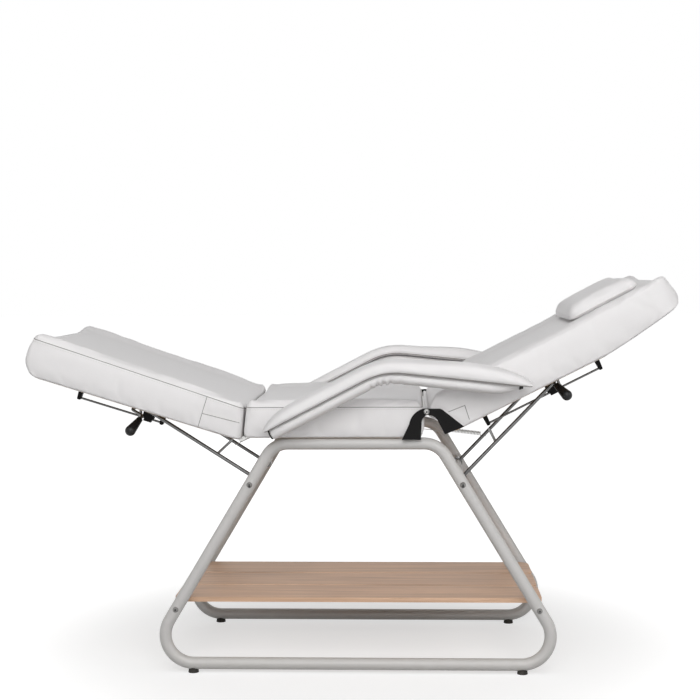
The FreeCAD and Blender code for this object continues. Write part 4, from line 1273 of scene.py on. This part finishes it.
    def _sew(self, cover: bpy.types.Object, top: SeamLine, finishes: Finishes, trim: TrimNodes) -> None:
        """Lay grey cords of painted seam shadow along the cover's seams, and a row of stitches beside the top
        seam.

        Args:
            cover: The finished cover.
            top: Line of the top seam.
            finishes: The chair's materials.
            trim: Node trees for seams.
        """
        surface = surface_of(cover)
        lines = [top] * self.top_seam + self.side_lines()
        lift = self.seam_radius * self.seam_lift
        # Grey cord of painted shade along each seam line, standing in for the shadow in its crease.
        seams = join_lines(f"{self.name}_seams", [line.laid_on(surface, lift) for line in lines])
        trim.run(seams, trim.cord, {"Radius": self.seam_radius, "Material": finishes.seam})
        finish_piece(seams, finishes.seam, self.body)
        if self.hinge_roll:
            self._roll(finishes, trim)
        if not self.top_seam:
            return
        drop = self.section.up * self.stitch_drop
        below = SeamLine(tuple(point - drop for point in top.points), closed=True)
        stitches = below.laid_on(surface, 0.0002).object(f"{self.name}_stitches")
        trim.run(stitches, trim.stitches, {"Spacing": self.stitch_spacing, "Length": self.stitch_length,
                                           "Radius": self.stitch_radius, "Material": finishes.thread})
        finish_piece(stitches, finishes.thread, self.body)

    def _roll(self, finishes: Finishes, trim: TrimNodes) -> None:
        """Lay a roll of vinyl along the hinge line, which closes the joint to the next section.

        Args:
            finishes: The chair's materials.
            trim: Node trees for seams.
        """
        reach = self.half_width - self.roll_short
        line = SeamLine(tuple(self.section.point(0.0, reach * share, 0.0) for share in np.linspace(-1, 1, 9)))
        roll = line.object(f"{self.name}_hinge_roll")
        trim.run(roll, trim.cord, {"Radius": self.hinge_roll, "Material": finishes[Slot.VINYL]})
        finish_piece(roll, finishes[Slot.VINYL], self.body)


# Arms


@dataclass
class ArmLine:
    """Centre line of an arm tube in the chair's side view: two runs joined by an arc."""

    front: Vector
    knee: Vector
    rear: Vector
    bend: float

    def __post_init__(self) -> None:
        """Work out the runs and the arc."""
        first, second = self.knee - self.front, self.rear - self.knee
        self.ahead, self.after = first.normalized(), second.normalized()
        turn = self.ahead.angle(self.after)
        cut = self.bend * math.tan(turn / 2)
        self.run, self.arc, self.tail = first.length - cut, self.bend * turn, second.length - cut

    @property
    def length(self) -> float:
        """Length of the whole line."""
        return self.run + self.arc + self.tail

    def station(self, distance: float) -> tuple[Vector, Vector]:
        """Point at a distance along the line, and the direction up from it.

        Args:
            distance: Distance from the front end.

        Returns:
            The point and the direction.
        """
        if distance <= self.run:
            point, heading = self.front + self.ahead * distance, self.ahead
        elif distance <= self.run + self.arc:
            part = (distance - self.run) / self.bend
            heading = Matrix.Rotation(part, 3, ACROSS) @ self.ahead
            start_up = self.ahead.cross(ACROSS)
            centre = self.front + self.ahead * self.run - start_up * self.bend
            point = centre + heading.cross(ACROSS) * self.bend
        else:
            point = self.rear - self.after * (self.length - distance)
            heading = self.after
        return point, heading.cross(ACROSS)


@dataclass
class Arm:
    """One arm: a vinyl sleeve round the tube and a boomerang pad on top of it."""

    side: int
    line: ArmLine
    offset: float
    sleeve_radius: float = 0.016
    sleeve_side: float = 0.026
    pad_gap: float = 0.0006
    pad_half: float = 0.038
    pad_tilt: float = math.radians(8.0)
    pad_tall: float = 0.0225
    pad_crown: float = 0.0055
    front_over: float = 0.016
    front_run: float = 0.105
    rear_over: float = 0.022
    rear_run: float = 0.105
    tip_inset: float = 0.016
    tip_power: float = 0.7
    swell: float = 0.008
    swell_reach: float = 0.15
    step: float = 0.009
    front_inset: float = 0.002
    sleeve_inset: float = 0.014
    sleeve_tail: float = 0.070
    sleeve_tip: float = 0.007
    tail_power: float = 1.5
    fold_depth: float = 0.006
    fold_width: float = 0.0055
    fold_puff: float = 0.0016
    fold_places: tuple[tuple[float, float], ...] = (
        (-0.040, 0.45), (-0.020, 0.8), (-0.004, 1.0), (0.016, 0.6), (0.042, 0.25))
    puff_places: tuple[float, ...] = (-0.012, 0.006)
    puff_width: float = 0.004
    gather_reach: float = 0.012
    gather_draw: float = 0.0016
    gather_depth: float = 0.0006
    gather_count: int = 9
    piping_radius: float = 0.0012
    piping_lift: float = 0.3
    pad_rounding: BoxRounding = BoxRounding(0.018, 0.018, 0.018, 0.0125, 0.006)
    pad_end_rows: float = 0.012
    pad_side_rows: float = 0.014
    pad_row_step: float = 0.003
    pad_puff_cap: float = 0.0025
    pad_fill: float = 0.8
    sleeve_step: float = 0.0025
    sleeve_fill: float = 0.5
    lining_share: float = 0.4
    tip_cap_set: float = 0.003
    swell_width: float = 0.09
    least_share: float = 0.012

    @property
    def label(self) -> str:
        """Name of the arm's side."""
        return SIDE_NAMES[self.side]

    def _thickness(self, distance: np.ndarray) -> np.ndarray:
        """Share of the pad's full thickness at distances along the arm.

        Args:
            distance: Distances from the front end of the tube.

        Returns:
            The share at each.
        """
        front = np.clip((distance + self.front_over) / self.front_run, self.least_share, 1)
        left = self.line.length + self.rear_over - distance
        rear = np.clip(left / self.rear_run, self.least_share, 1)
        tip = ((1 - (1 - front) ** 2) * (1 - (1 - rear) ** 2)) ** self.tip_power
        fullest = self.line.length - self.swell_reach
        bulge = np.exp(-((distance - fullest) / self.swell_width) ** 2)
        return tip * (1 + self.swell / self.pad_tall * bulge)

    def _pad_places(self, points: np.ndarray) -> np.ndarray:
        """Bend the pad's rounded box along the arm.

        Args:
            points: Points of the box, with their distance along the arm first.

        Returns:
            Their places in the chair.
        """
        distance = points[:, 0]
        share = self._thickness(distance)
        height = points[:, 2] / self.pad_tall + 0.5
        width = points[:, 1] / self.pad_half
        half = self.pad_half - self.tip_inset * (1 - np.minimum(share, 1))
        level = self.sleeve_radius + self.pad_gap
        above = self.pad_tall * share * height + self.pad_crown * share * (1 - width ** 2) * height ** 2
        out = self.side * width * half
        across = out * math.cos(self.pad_tilt) + above * math.sin(self.pad_tilt)
        lifted = level + above * math.cos(self.pad_tilt) - out * math.sin(self.pad_tilt)
        places = []
        for number in range(len(points)):
            spot, up = self.line.station(float(distance[number]))
            places.append(spot + up * float(lifted[number])
                          + ACROSS * (self.side * (self.offset + float(across[number]))))
        return np.array([tuple(place) for place in places])

    def build_pad(self, finishes: Finishes, trim: TrimNodes) -> None:
        """Make the pad's cover and the dark piping round its lower edge.

        Args:
            finishes: The chair's materials.
            trim: Node trees for seams.
        """
        length = self.line.length + self.front_over + self.rear_over
        half = (length / 2, self.pad_half, self.pad_tall / 2)
        ends, sides, corner = self.pad_end_rows, self.pad_side_rows, self.pad_rounding
        skin = BoxSkin((graded(length, ends, ends, self.step, -half[0]),
                        graded(2 * half[1], sides, sides, self.step, -half[1]),
                        graded(self.pad_tall, corner.low, corner.top, self.pad_row_step, -half[2])))
        box = rounded_box(skin.points(), half, corner)
        box[:, 0] += half[0] - self.front_over
        places = self._pad_places(box)
        pad = mesh_object(f"arm_pad_cover_{self.label}", places, skin.faces)
        face_outwards(pad)
        edge = SeamLine(tuple(Vector(places[number]) for number in skin.ring(0)), closed=True)
        ClothPuff(pressure=3.0, slack=0.008).swell(pad, skin.ring(0) + skin.panel(2, 0), self.pad_puff_cap)
        ease = pad.modifiers.new("ease", "SMOOTH")
        ease.factor, ease.iterations = 0.5, 3
        subdivide(pad)
        smooth(pad, 70)
        lift = self.piping_radius * self.piping_lift
        piping = edge.laid_on(surface_of(pad), lift).object(f"arm_piping_{self.label}")
        trim.run(piping, trim.cord, {"Radius": self.piping_radius, "Material": finishes.piping})
        finish_piece(piping, finishes.piping, "frame")
        finish_piece(pad, finishes[Slot.VINYL], "frame", [f"arm_pad_{self.label}"])

    def _fold(self, distance: float, angle: float) -> float:
        """How far the sleeve draws in where it creases inside the bend and where its ends are gathered.

        Args:
            distance: Distance along the arm.
            angle: Angle round the sleeve.

        Returns:
            The depth at that place.
        """
        past = distance - self.line.run - self.line.arc / 2
        below = min(max(0.5 - 0.8 * math.sin(angle), 0.0), 1.0)
        draw = sum(share * math.exp(-((past - place) / self.fold_width) ** 2)
                   for place, share in self.fold_places)
        puff = sum(math.exp(-((past - place) / self.puff_width) ** 2) for place in self.puff_places)
        draw -= self.fold_puff / self.fold_depth * puff
        ends = math.exp(-(distance - self.front_inset) / self.gather_reach)
        ends += math.exp(-(self.line.length - self.sleeve_inset - distance) / self.gather_reach)
        gathers = self.gather_depth * math.sin(angle * self.gather_count) * ends
        return self.fold_depth * draw * below + self.gather_draw * ends + gathers

    def _tail(self, distance: float) -> float:
        """How much narrower the sleeve is in its drawn-up rear end.

        Args:
            distance: Distance along the arm.

        Returns:
            The loss of radius there.
        """
        start = self.line.length - self.sleeve_inset - self.sleeve_tail
        share = min(max((distance - start) / self.sleeve_tail, 0.0), 1.0)
        return (self.sleeve_radius - self.sleeve_tip) * share ** self.tail_power

    def _fullness(self, distance: float, run: float = 0.06) -> float:
        """How much wider than high the padded sleeve is, away from its ends.

        Args:
            distance: Distance along the arm.
            run: Length over which it fills out in front. Behind it takes twice as long.

        Returns:
            The extra half width there.
        """
        front = min(max((distance - self.front_inset) / run, 0.0), 1.0)
        rear = min(max((self.line.length - self.sleeve_inset - distance) / (2 * run), 0.0), 1.0)
        extra = self.sleeve_side - self.sleeve_radius
        return extra * math.sin(front * math.pi / 2) * math.sin(rear * math.pi / 2)

    def tip(self) -> tuple[Vector, Vector]:
        """Place and direction of the small cap that closes the sleeve's rear end.

        Returns:
            Its middle and the way it faces.
        """
        last = self.line.length - self.sleeve_inset
        spot, up = self.line.station(last)
        spot = spot + up * self._tail(last) + ACROSS * (self.side * self.offset)
        return spot + self.line.after * self.tip_cap_set, self.line.after.copy()

    def build_sleeve(self, finishes: Finishes, around: int = 32, wall: float = 0.0028) -> None:
        """Make the sleeve with the creases inside its bend, its gathered front and its drawn-up rear end.

        Args:
            finishes: The chair's materials.
            around: Number of points round it.
            wall: Thickness of the vinyl and its lining.
        """
        first, last = self.front_inset, self.line.length - self.sleeve_inset
        rows = np.linspace(first, last, round((last - first) / self.sleeve_step))
        rings = [(float(row), 0.0) for row in rows] + [(float(row), wall) for row in reversed(rows)]
        points, faces = [], []
        for number, (row, inside) in enumerate(rings):
            spot, up = self.line.station(row)
            narrower = self._tail(row)
            spot = spot + up * narrower
            for step in range(around):
                angle = 2 * math.pi * step / around
                reach = self.sleeve_radius - narrower - inside
                reach -= self._fold(row, angle) * (self.lining_share if inside else 1.0)
                wide = reach + (0.0 if inside else self._fullness(row))
                points.append(tuple(spot + up * (math.sin(angle) * reach)
                                    + ACROSS * (self.side * self.offset + math.cos(angle) * wide)))
                ahead = (number + 1) % len(rings)
                beside = (step + 1) % around
                faces.append((number * around + step, number * around + beside,
                              ahead * around + beside, ahead * around + step))
        sleeve = mesh_object(f"arm_sleeve_cover_{self.label}", np.array(points), faces)
        face_outwards(sleeve)
        smooth(sleeve, 60)
        finish_piece(sleeve, finishes[Slot.VINYL], "frame", [f"arm_sleeve_{self.label}"])


@dataclass
class Pillow:
    """Loose head pillow with a sewn gusset."""

    section: SectionFrame
    back: Cushion
    step: float = 0.01
    tall: float = 0.038
    end_share: float = 0.8
    shift: float = 0.008
    gap: float = 0.0006
    wider: float = 0.006
    waist: float = 0.006
    dome: float = 0.005
    dome_power: float = 2.4
    end_lift: float = 0.002
    end_rows: float = 0.03
    row_step: float = 0.005
    rounding: BoxRounding = BoxRounding(0.028, 0.028, 0.030, 0.018, 0.010)
    puff_cap: float = 0.003
    welt_radius: float = 0.0012
    welt_lift: float = 0.0003
    fill: float = 0.6

    def build(self, nodes: dict[str, bpy.types.Object], finishes: Finishes, trim: TrimNodes) -> None:
        """Make the pillow and the welt round it.

        Args:
            nodes: CAD nodes by name.
            finishes: The chair's materials.
            trim: Node trees for seams.
        """
        low, high = self.section.extent(nodes["pillow"])
        length, half_width = float(high[0] - low[0]), float(high[1]) + self.wider
        half = (length / 2, half_width, self.tall / 2)
        ends, corner = self.end_rows, self.rounding
        skin = BoxSkin((graded(length, ends, ends, self.step, -half[0]),
                        graded(2 * half_width, ends, ends, self.step, -half_width),
                        graded(self.tall, corner.low, corner.top, self.row_step, -half[2])))
        box = rounded_box(skin.points(), half, corner)
        share, width = box[:, 0] / length + 0.5, box[:, 1] / half_width
        height = box[:, 2] / self.tall + 0.5
        arch = np.clip(1 - np.abs(2 * share - 1) ** 4, 0, 1)
        u = float(low[0]) + self.shift + share * length
        y = width * (half_width - self.waist * (1 - np.abs(2 * share - 1) ** 2))
        rest = self.back.top_at(u, y) + self.back.puff_cap + self.gap
        top = (self.end_share + (1 - self.end_share) * arch) * self.tall
        dome = self.dome * arch * (1 - np.abs(width) ** self.dome_power) * height ** 2
        lift = self.end_lift * (1 - arch) * (1 - height)
        places = self.section.places(np.stack([u, y, rest + lift + height * top + dome], axis=1))
        pillow = mesh_object("pillow_cover", places, skin.faces)
        face_outwards(pillow)
        seam = SeamLine(tuple(Vector(places[number]) for number in skin.ring(3)), closed=True)
        ClothPuff(pressure=3.0, slack=0.02).swell(pillow, skin.ring(3) + skin.panel(2, 0), self.puff_cap)
        subdivide(pillow)
        smooth(pillow, 70)
        welt = seam.laid_on(surface_of(pillow), self.welt_lift).object("pillow_welt")
        trim.run(welt, trim.cord, {"Radius": self.welt_radius, "Material": finishes[Slot.VINYL]})
        finish_piece(welt, finishes[Slot.VINYL], "pillow")
        finish_piece(pillow, finishes[Slot.VINYL], "pillow", ["pillow"])


# Steel pieces


@dataclass(frozen=True)
class TensionSpring:
    """Spring between a stud under the seat and a support strut; the real one stretches as the strut swings.
    """

    end: str
    stud: Vector
    hook: Vector
    merge_distance: float = 1e-6

    def build(self, nodes: dict[str, bpy.types.Object], finishes: Finishes) -> None:
        """Copy the wound wire as a smooth mesh in place of the CAD spring.

        Args:
            nodes: CAD nodes by name.
            finishes: The chair's materials.
        """
        node = nodes[f"{self.end}_spring"]
        work = bmesh.new()
        work.from_mesh(node.data)
        bmesh.ops.remove_doubles(work, verts=work.verts, dist=self.merge_distance)
        mesh = bpy.data.meshes.new(f"{self.end}_spring_wire")
        work.to_mesh(mesh)
        work.free()
        wire = link_mesh(f"{self.end}_spring_wire", mesh)
        wire.data.materials.append(finishes[Slot.ZINC])
        smooth(wire, 60)
        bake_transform(wire)
        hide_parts(f"{self.end}_spring")
        LOG.info("%s stretches between frame and %s_strut", wire.name, self.end)


@dataclass
class Fasteners:
    """Dark discs of painted socket shade on the bolt heads, and caps on the arm sleeves."""

    FACE_DEPTH = 1e-4
    BOLT_CELL = 0.03

    finishes: Finishes
    trim: TrimNodes
    socket_radius: float = 0.0032
    socket_height: float = 0.0004
    cap_radius: float = 0.0056
    cap_height: float = 0.007

    def heads(self, name: str, body: str, spots: Sequence[tuple[Vector, Vector]], sides: int, radius: float,
              height: float, material: bpy.types.Material, slot: Slot) -> None:
        """Set like heads on their seats.

        Args:
            name: Name of the piece.
            body: CAD body that carries it.
            spots: Seat and outward direction of each head.
            sides: Number of sides of a head.
            radius: Its radius.
            height: How far it stands out.
            material: What it is made of.
            slot: Slot of the record; not used.
        """
        piece = mesh_object(name, np.array([tuple(seat) for seat, _ in spots]), [])
        facing = piece.data.attributes.new("facing", "FLOAT_VECTOR", "POINT")
        facing.data.foreach_set("vector", [part for _, out in spots for part in out])
        self.trim.run(piece, self.trim.heads, {"Sides": sides, "Radius": radius, "Height": height,
                                               "Material": material})
        smooth(piece, 30)
        finish_piece(piece, material, body)

    def bolt_sockets(self, nodes: dict[str, bpy.types.Object]) -> None:
        """Dark six-sided discs of painted shade on the frame's bolts and the back's pivot bolts, in place of
        their hex sockets.

        Args:
            nodes: CAD nodes by name.
        """
        spots = self._outer_faces(nodes["frame_bolts"])
        for side in SIDE_NAMES.values():
            spots += self._outer_faces(nodes[f"back_pivot_bolt_{side}"])
        # The discs are painted shade, not hollows: they stand slightly proud of the bolt faces.
        self.heads("bolt_sockets", "frame", spots, 6, self.socket_radius, self.socket_height,
                   self.finishes.socket, Slot.STEEL)

    def tip_caps(self, arms: Iterable[Arm]) -> None:
        """Black caps at the rear ends of the arm sleeves."""
        self.heads("arm_tip_caps", "frame", [arm.tip() for arm in arms], 20, self.cap_radius, self.cap_height,
                   self.finishes[Slot.PLASTIC], Slot.PLASTIC)

    @staticmethod
    def _outer_faces(node: bpy.types.Object) -> list[tuple[Vector, Vector]]:
        """Middle of the outermost face of each bolt in a node, with its outward direction.

        Args:
            node: CAD node of one or more bolts.

        Returns:
            The middles and directions.
        """
        points = coordinates(node.data)
        spots = []
        for side in (NEAR, FAR):
            reach = np.max(side * points[:, 1])
            if reach < 0:
                continue
            ends = points[side * points[:, 1] > reach - Fasteners.FACE_DEPTH]
            keys = np.round(ends[:, [0, 2]] / Fasteners.BOLT_CELL).astype(int)
            for key in sorted({tuple(row) for row in keys}):
                ring = ends[np.all(keys == key, axis=1)]
                middle = (ring.min(0) + ring.max(0)) / 2
                spots.append((Vector(middle), ACROSS * side))
        return spots


# Stage


@dataclass(frozen=True)
class Softbox:
    """One soft lamp that points at the chair."""

    name: str
    place: tuple[float, float, float]
    aim_height: float
    size: tuple[float, float]
    power: float
    mirrored: bool = True

    def hang(self, scene: bpy.types.Scene) -> None:
        """Hang the lamp out of the camera's sight.

        Args:
            scene: Scene that it lights.
        """
        data = bpy.data.lights.new(self.name, "AREA")
        data.shape, data.energy = "RECTANGLE", self.power
        data.size, data.size_y = self.size
        lamp = bpy.data.objects.new(self.name, data)
        lamp.location = self.place
        lamp.visible_camera = False
        lamp.visible_glossy = self.mirrored
        aim = Vector((0.0, 0.0, self.aim_height))
        lamp.rotation_euler = (aim - lamp.location).to_track_quat("-Z", "Y").to_euler()
        scene.collection.objects.link(lamp)


@dataclass(frozen=True)
class Studio:
    """Pale floor, soft light and the camera of the photograph."""

    camera_place: tuple[float, float, float] = (0.1456, -3.9296, 1.0504)
    yaw: float = -0.0435
    pitch: float = 0.0549
    roll: float = -0.0063
    focal_share: float = 1414.24 / 700
    sensor: float = 36.0
    ambient: float = 0.08
    floor_half: float = 30.0
    floor_colour: float = 0.50
    # Glow near the chair, kept low there as painted shade; it rises to full white between glow_near and
    # glow_far.
    floor_glow: float = 0.59
    glow_near: float = 0.5
    glow_far: float = 1.4
    softboxes: tuple[Softbox, ...] = (
        Softbox("front_softbox", (0.3, -5.0, 3.6), 0.6, (4.0, 2.6), 132.0),
        Softbox("low_softbox", (0.4, -6.0, 1.7), 0.6, (4.0, 2.0), 60.0),
        Softbox("high_softbox", (0.0, -1.8, 4.2), 0.5, (3.5, 2.5), 31.0),
        Softbox("left_softbox", (-4.5, -2.5, 2.4), 0.6, (2.0, 2.0), 25.0),
        Softbox("right_softbox", (4.5, -2.5, 2.4), 0.6, (2.0, 2.0), 46.0),
        Softbox("rear_softbox", (0.0, 5.0, 1.5), 0.7, (4.0, 1.4), 45.0, mirrored=False))

    def build(self) -> None:
        """Set up the whole stage."""
        scene = bpy.context.scene
        scene.view_settings.view_transform = "Standard"
        self._camera(scene)
        self._world(scene)
        self._floor()
        for softbox in self.softboxes:
            softbox.hang(scene)

    def _camera(self, scene: bpy.types.Scene) -> None:
        """Stand the camera where the photograph was taken.

        Args:
            scene: Scene that it shows.
        """
        level = math.cos(self.pitch)
        ahead = Vector((math.sin(self.yaw) * level, math.cos(self.yaw) * level, -math.sin(self.pitch)))
        right = Vector((math.cos(self.yaw), -math.sin(self.yaw), 0.0))
        up = right.cross(ahead)
        turned = right * math.cos(self.roll) + up * math.sin(self.roll)
        upright = up * math.cos(self.roll) - right * math.sin(self.roll)
        data = bpy.data.cameras.new("photo_camera")
        data.sensor_width = self.sensor
        data.lens = self.focal_share * self.sensor
        camera = bpy.data.objects.new("photo_camera", data)
        axes = Matrix((turned, upright, -ahead)).transposed().to_4x4()
        camera.matrix_world = Matrix.Translation(self.camera_place) @ axes
        scene.collection.objects.link(camera)
        scene.camera = camera

    @staticmethod
    def _seen(graph: Graph) -> bpy.types.NodeSocket:
        """One for rays that show a surface or its mirror image, zero for rays that light it.

        Args:
            graph: Graph of the material or the world.

        Returns:
            The value.
        """
        rays = graph.add("ShaderNodeLightPath").outputs
        mirrored = graph.calc("MAXIMUM", rays["Is Glossy Ray"], rays["Is Transmission Ray"])
        return graph.calc("MAXIMUM", rays["Is Camera Ray"], mirrored)

    def _world(self, scene: bpy.types.Scene) -> None:
        """White background, and a dimmer even light from all round.

        Args:
            scene: Scene that it surrounds.
        """
        world = bpy.data.worlds.new("studio_white")
        world.use_nodes = True
        scene.world = world
        graph = Graph(world.node_tree)
        background = world.node_tree.nodes["Background"]
        level = graph.spread(self._seen(graph), (0.0, 1.0), (self.ambient, 1.0))
        background.inputs["Color"].default_value = (1.0, 1.0, 1.0, 1.0)
        graph.join(level, background.inputs["Strength"])

    def _floor(self) -> None:
        """Pale floor that keeps the chair's shadow, with a white glow for camera and mirror rays that is
        painted weaker near the chair as a soft shade round it.
        """
        half = self.floor_half
        corners = np.array([(-half, -half, 0.0), (half, -half, 0.0), (half, half, 0.0), (-half, half, 0.0)])
        floor = mesh_object("studio_floor", corners, [(0, 1, 2, 3)])
        material = bpy.data.materials.new("pale_floor")
        material.use_nodes = True
        graph = Graph(material.node_tree)
        material.node_tree.nodes.remove(material.node_tree.nodes["Principled BSDF"])
        grey = self.floor_colour
        matte = graph.add("ShaderNodeBsdfDiffuse", {"Color": (grey, grey, grey, 1.0)})
        glow = graph.add("ShaderNodeEmission", {"Color": (1.0, 1.0, 1.0, 1.0)})
        # The white glow is the backdrop far off; its lower value near the chair is painted shade on top of
        # the lamps' real shadow.
        distance = graph.add("ShaderNodeVectorMath", {0: graph.place()}, operation="LENGTH")
        share = graph.spread(distance.outputs["Value"], (self.glow_near, self.glow_far),
                             (self.floor_glow, 1.0), interpolation_type="SMOOTHSTEP")
        graph.join(graph.calc("MULTIPLY", self._seen(graph), share), glow.inputs["Strength"])
        both = graph.add("ShaderNodeAddShader", {0: matte.outputs[0], 1: glow.outputs[0]})
        graph.join(both.outputs[0], material.node_tree.nodes["Material Output"].inputs["Surface"])
        floor.data.materials.append(material)


class TreatmentChair:
    """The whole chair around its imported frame."""

    BACK_ANGLE = math.radians(26.5)
    LEG_ANGLE = math.radians(17.2)
    ARM_OFFSET = 0.355
    ARM_BEND = 0.15

    def __init__(self, frame: dict[str, Any]) -> None:
        """Take the frame's nodes, joints and record.
        """
        self.nodes: dict[str, bpy.types.Object] = frame["nodes"]
        self.record: dict[str, Any] = frame["record"]
        self.pivots = {joint["name"]: Vector(joint["pos_m"]) for joint in frame["joints"] if "pos_m" in joint}
        self.finishes = Finishes()
        self.trim = TrimNodes()
        back, leg = self.BACK_ANGLE, self.LEG_ANGLE
        self.seat_frame = SectionFrame(Vector((0.0, 0.0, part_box("seat_base")[0].z)), Vector((1, 0, 0)),
                                       Vector((0, 0, 1)))
        self.back_frame = SectionFrame(self.pivots["back_tilt"], Vector((math.cos(back), 0, math.sin(back))),
                                       Vector((-math.sin(back), 0, math.cos(back))))
        self.leg_frame = SectionFrame(self.pivots["leg_tilt"], Vector((-math.cos(leg), 0, math.sin(leg))),
                                      Vector((math.sin(leg), 0, math.cos(leg))))

    def dress_nodes(self) -> None:
        """Give every CAD node the finish of its slot."""
        for part in self.record["subparts"]:
            node = self.nodes[part["node"]]
            material = self.finishes[Slot(part["material_slot"])]
            if part["node"] == "frame_bolts":
                material = self.finishes.bolt
            node.data.materials.clear()
            node.data.materials.append(material)

    def cushions(self) -> list[Cushion]:
        """The three upholstered sections.

        Returns:
            Seat, back and leg rest.
        """
        seat = Cushion("seat_cover", "seat_cushion", "seat_base", "frame", self.seat_frame, crest=0.0985,
                       dish=0.012, start=EndCurve(0.010, 0.003, 0.10, 0.14, 1.0),
                       end=EndCurve(0.015, 0.008, 0.3, 0.69, 1.2), reach_start=0.008, reach_end=0.0005,
                       held_end=True, rounding=BoxRounding(0.018, 0.009, 0.018, 0.018, 0.008))
        back = Cushion("back_cover", "back_cushion", "back_base", "back", self.back_frame, crest=0.028,
                       dish=0.012, climb=0.0171, start=EndCurve(0.042, 0.062, 0.62, 0.69, 1.0),
                       end=EndCurve(0.016, 0.026, 0.14, 0.2, 1.3), taper_start=0.47, taper_rise=0.034,
                       side_seams=(((0.050, -0.026), (0.0946, -0.030), (0.089, -0.068)),), top_seam=False,
                       rounding=BoxRounding(0.009, 0.012, 0.018, 0.012, 0.008), corner_run=0.07,
                       reach_end=0.016, hinge_roll=0.0055)
        leg = Cushion("leg_cover", "leg_cushion", "leg_base", "leg_rest", self.leg_frame, crest=0.0925,
                      dish=0.013, climb=0.0297, start=EndCurve(0.019, 0.002, 0.06, 0.08, 1.05),
                      end=EndCurve(0.013, 0.032, 0.38, 0.5), reach_start=0.005,
                      side_seams=(((0.118, 0.082), (0.118, -0.002)), ((0.118, 0.036), (0.016, 0.041))),
                      rounding=BoxRounding(0.018, 0.014, 0.018, 0.014, 0.008))
        return [seat, back, leg]

    def arms(self) -> list[Arm]:
        """Both arms.

        Returns:
            The near arm and the far one.
        """
        under = self.seat_frame.origin.z
        line = ArmLine(Vector((-0.212, 0, under + 0.0175)), Vector((0.075, 0, under + 0.1655)),
                       Vector((0.430, 0, under + 0.127)), self.ARM_BEND)
        return [Arm(side, line, self.ARM_OFFSET) for side in (NEAR, FAR)]

    def springs(self) -> list[TensionSpring]:
        """The two springs under the seat."""
        return [TensionSpring("back", Vector((0.156, 0.156, 0.5995)), Vector((0.3517, 0.156, 0.576))),
                TensionSpring("leg", Vector((-0.262, 0.156, 0.5995)), Vector((-0.3619, 0.156, 0.5527)))]

    def build(self) -> None:
        """Make and dress every piece."""
        self.dress_nodes()
        sections = self.cushions()
        for cushion in sections:
            cushion.build(self.nodes, self.finishes, self.trim)
        arms = self.arms()
        for arm in arms:
            arm.build_pad(self.finishes, self.trim)
            arm.build_sleeve(self.finishes)
        Pillow(self.back_frame, sections[1]).build(self.nodes, self.finishes, self.trim)
        for spring in self.springs():
            spring.build(self.nodes, self.finishes)
        fasteners = Fasteners(self.finishes, self.trim)
        fasteners.bolt_sockets(self.nodes)
        fasteners.tip_caps(arms)


def corners(box: tuple[Vector, Vector]) -> list[list[float]]:
    """A box as plain lists of numbers."""
    return [list(box[0]), list(box[1])]


def main() -> None:
    """Load the frame, and build the chair and its stage."""
    logging.basicConfig(level=logging.INFO, format="%(name)s: %(message)s")
    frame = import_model()
    TreatmentChair(frame).build()
    Studio().build()


if __name__ == "__main__":
    main()
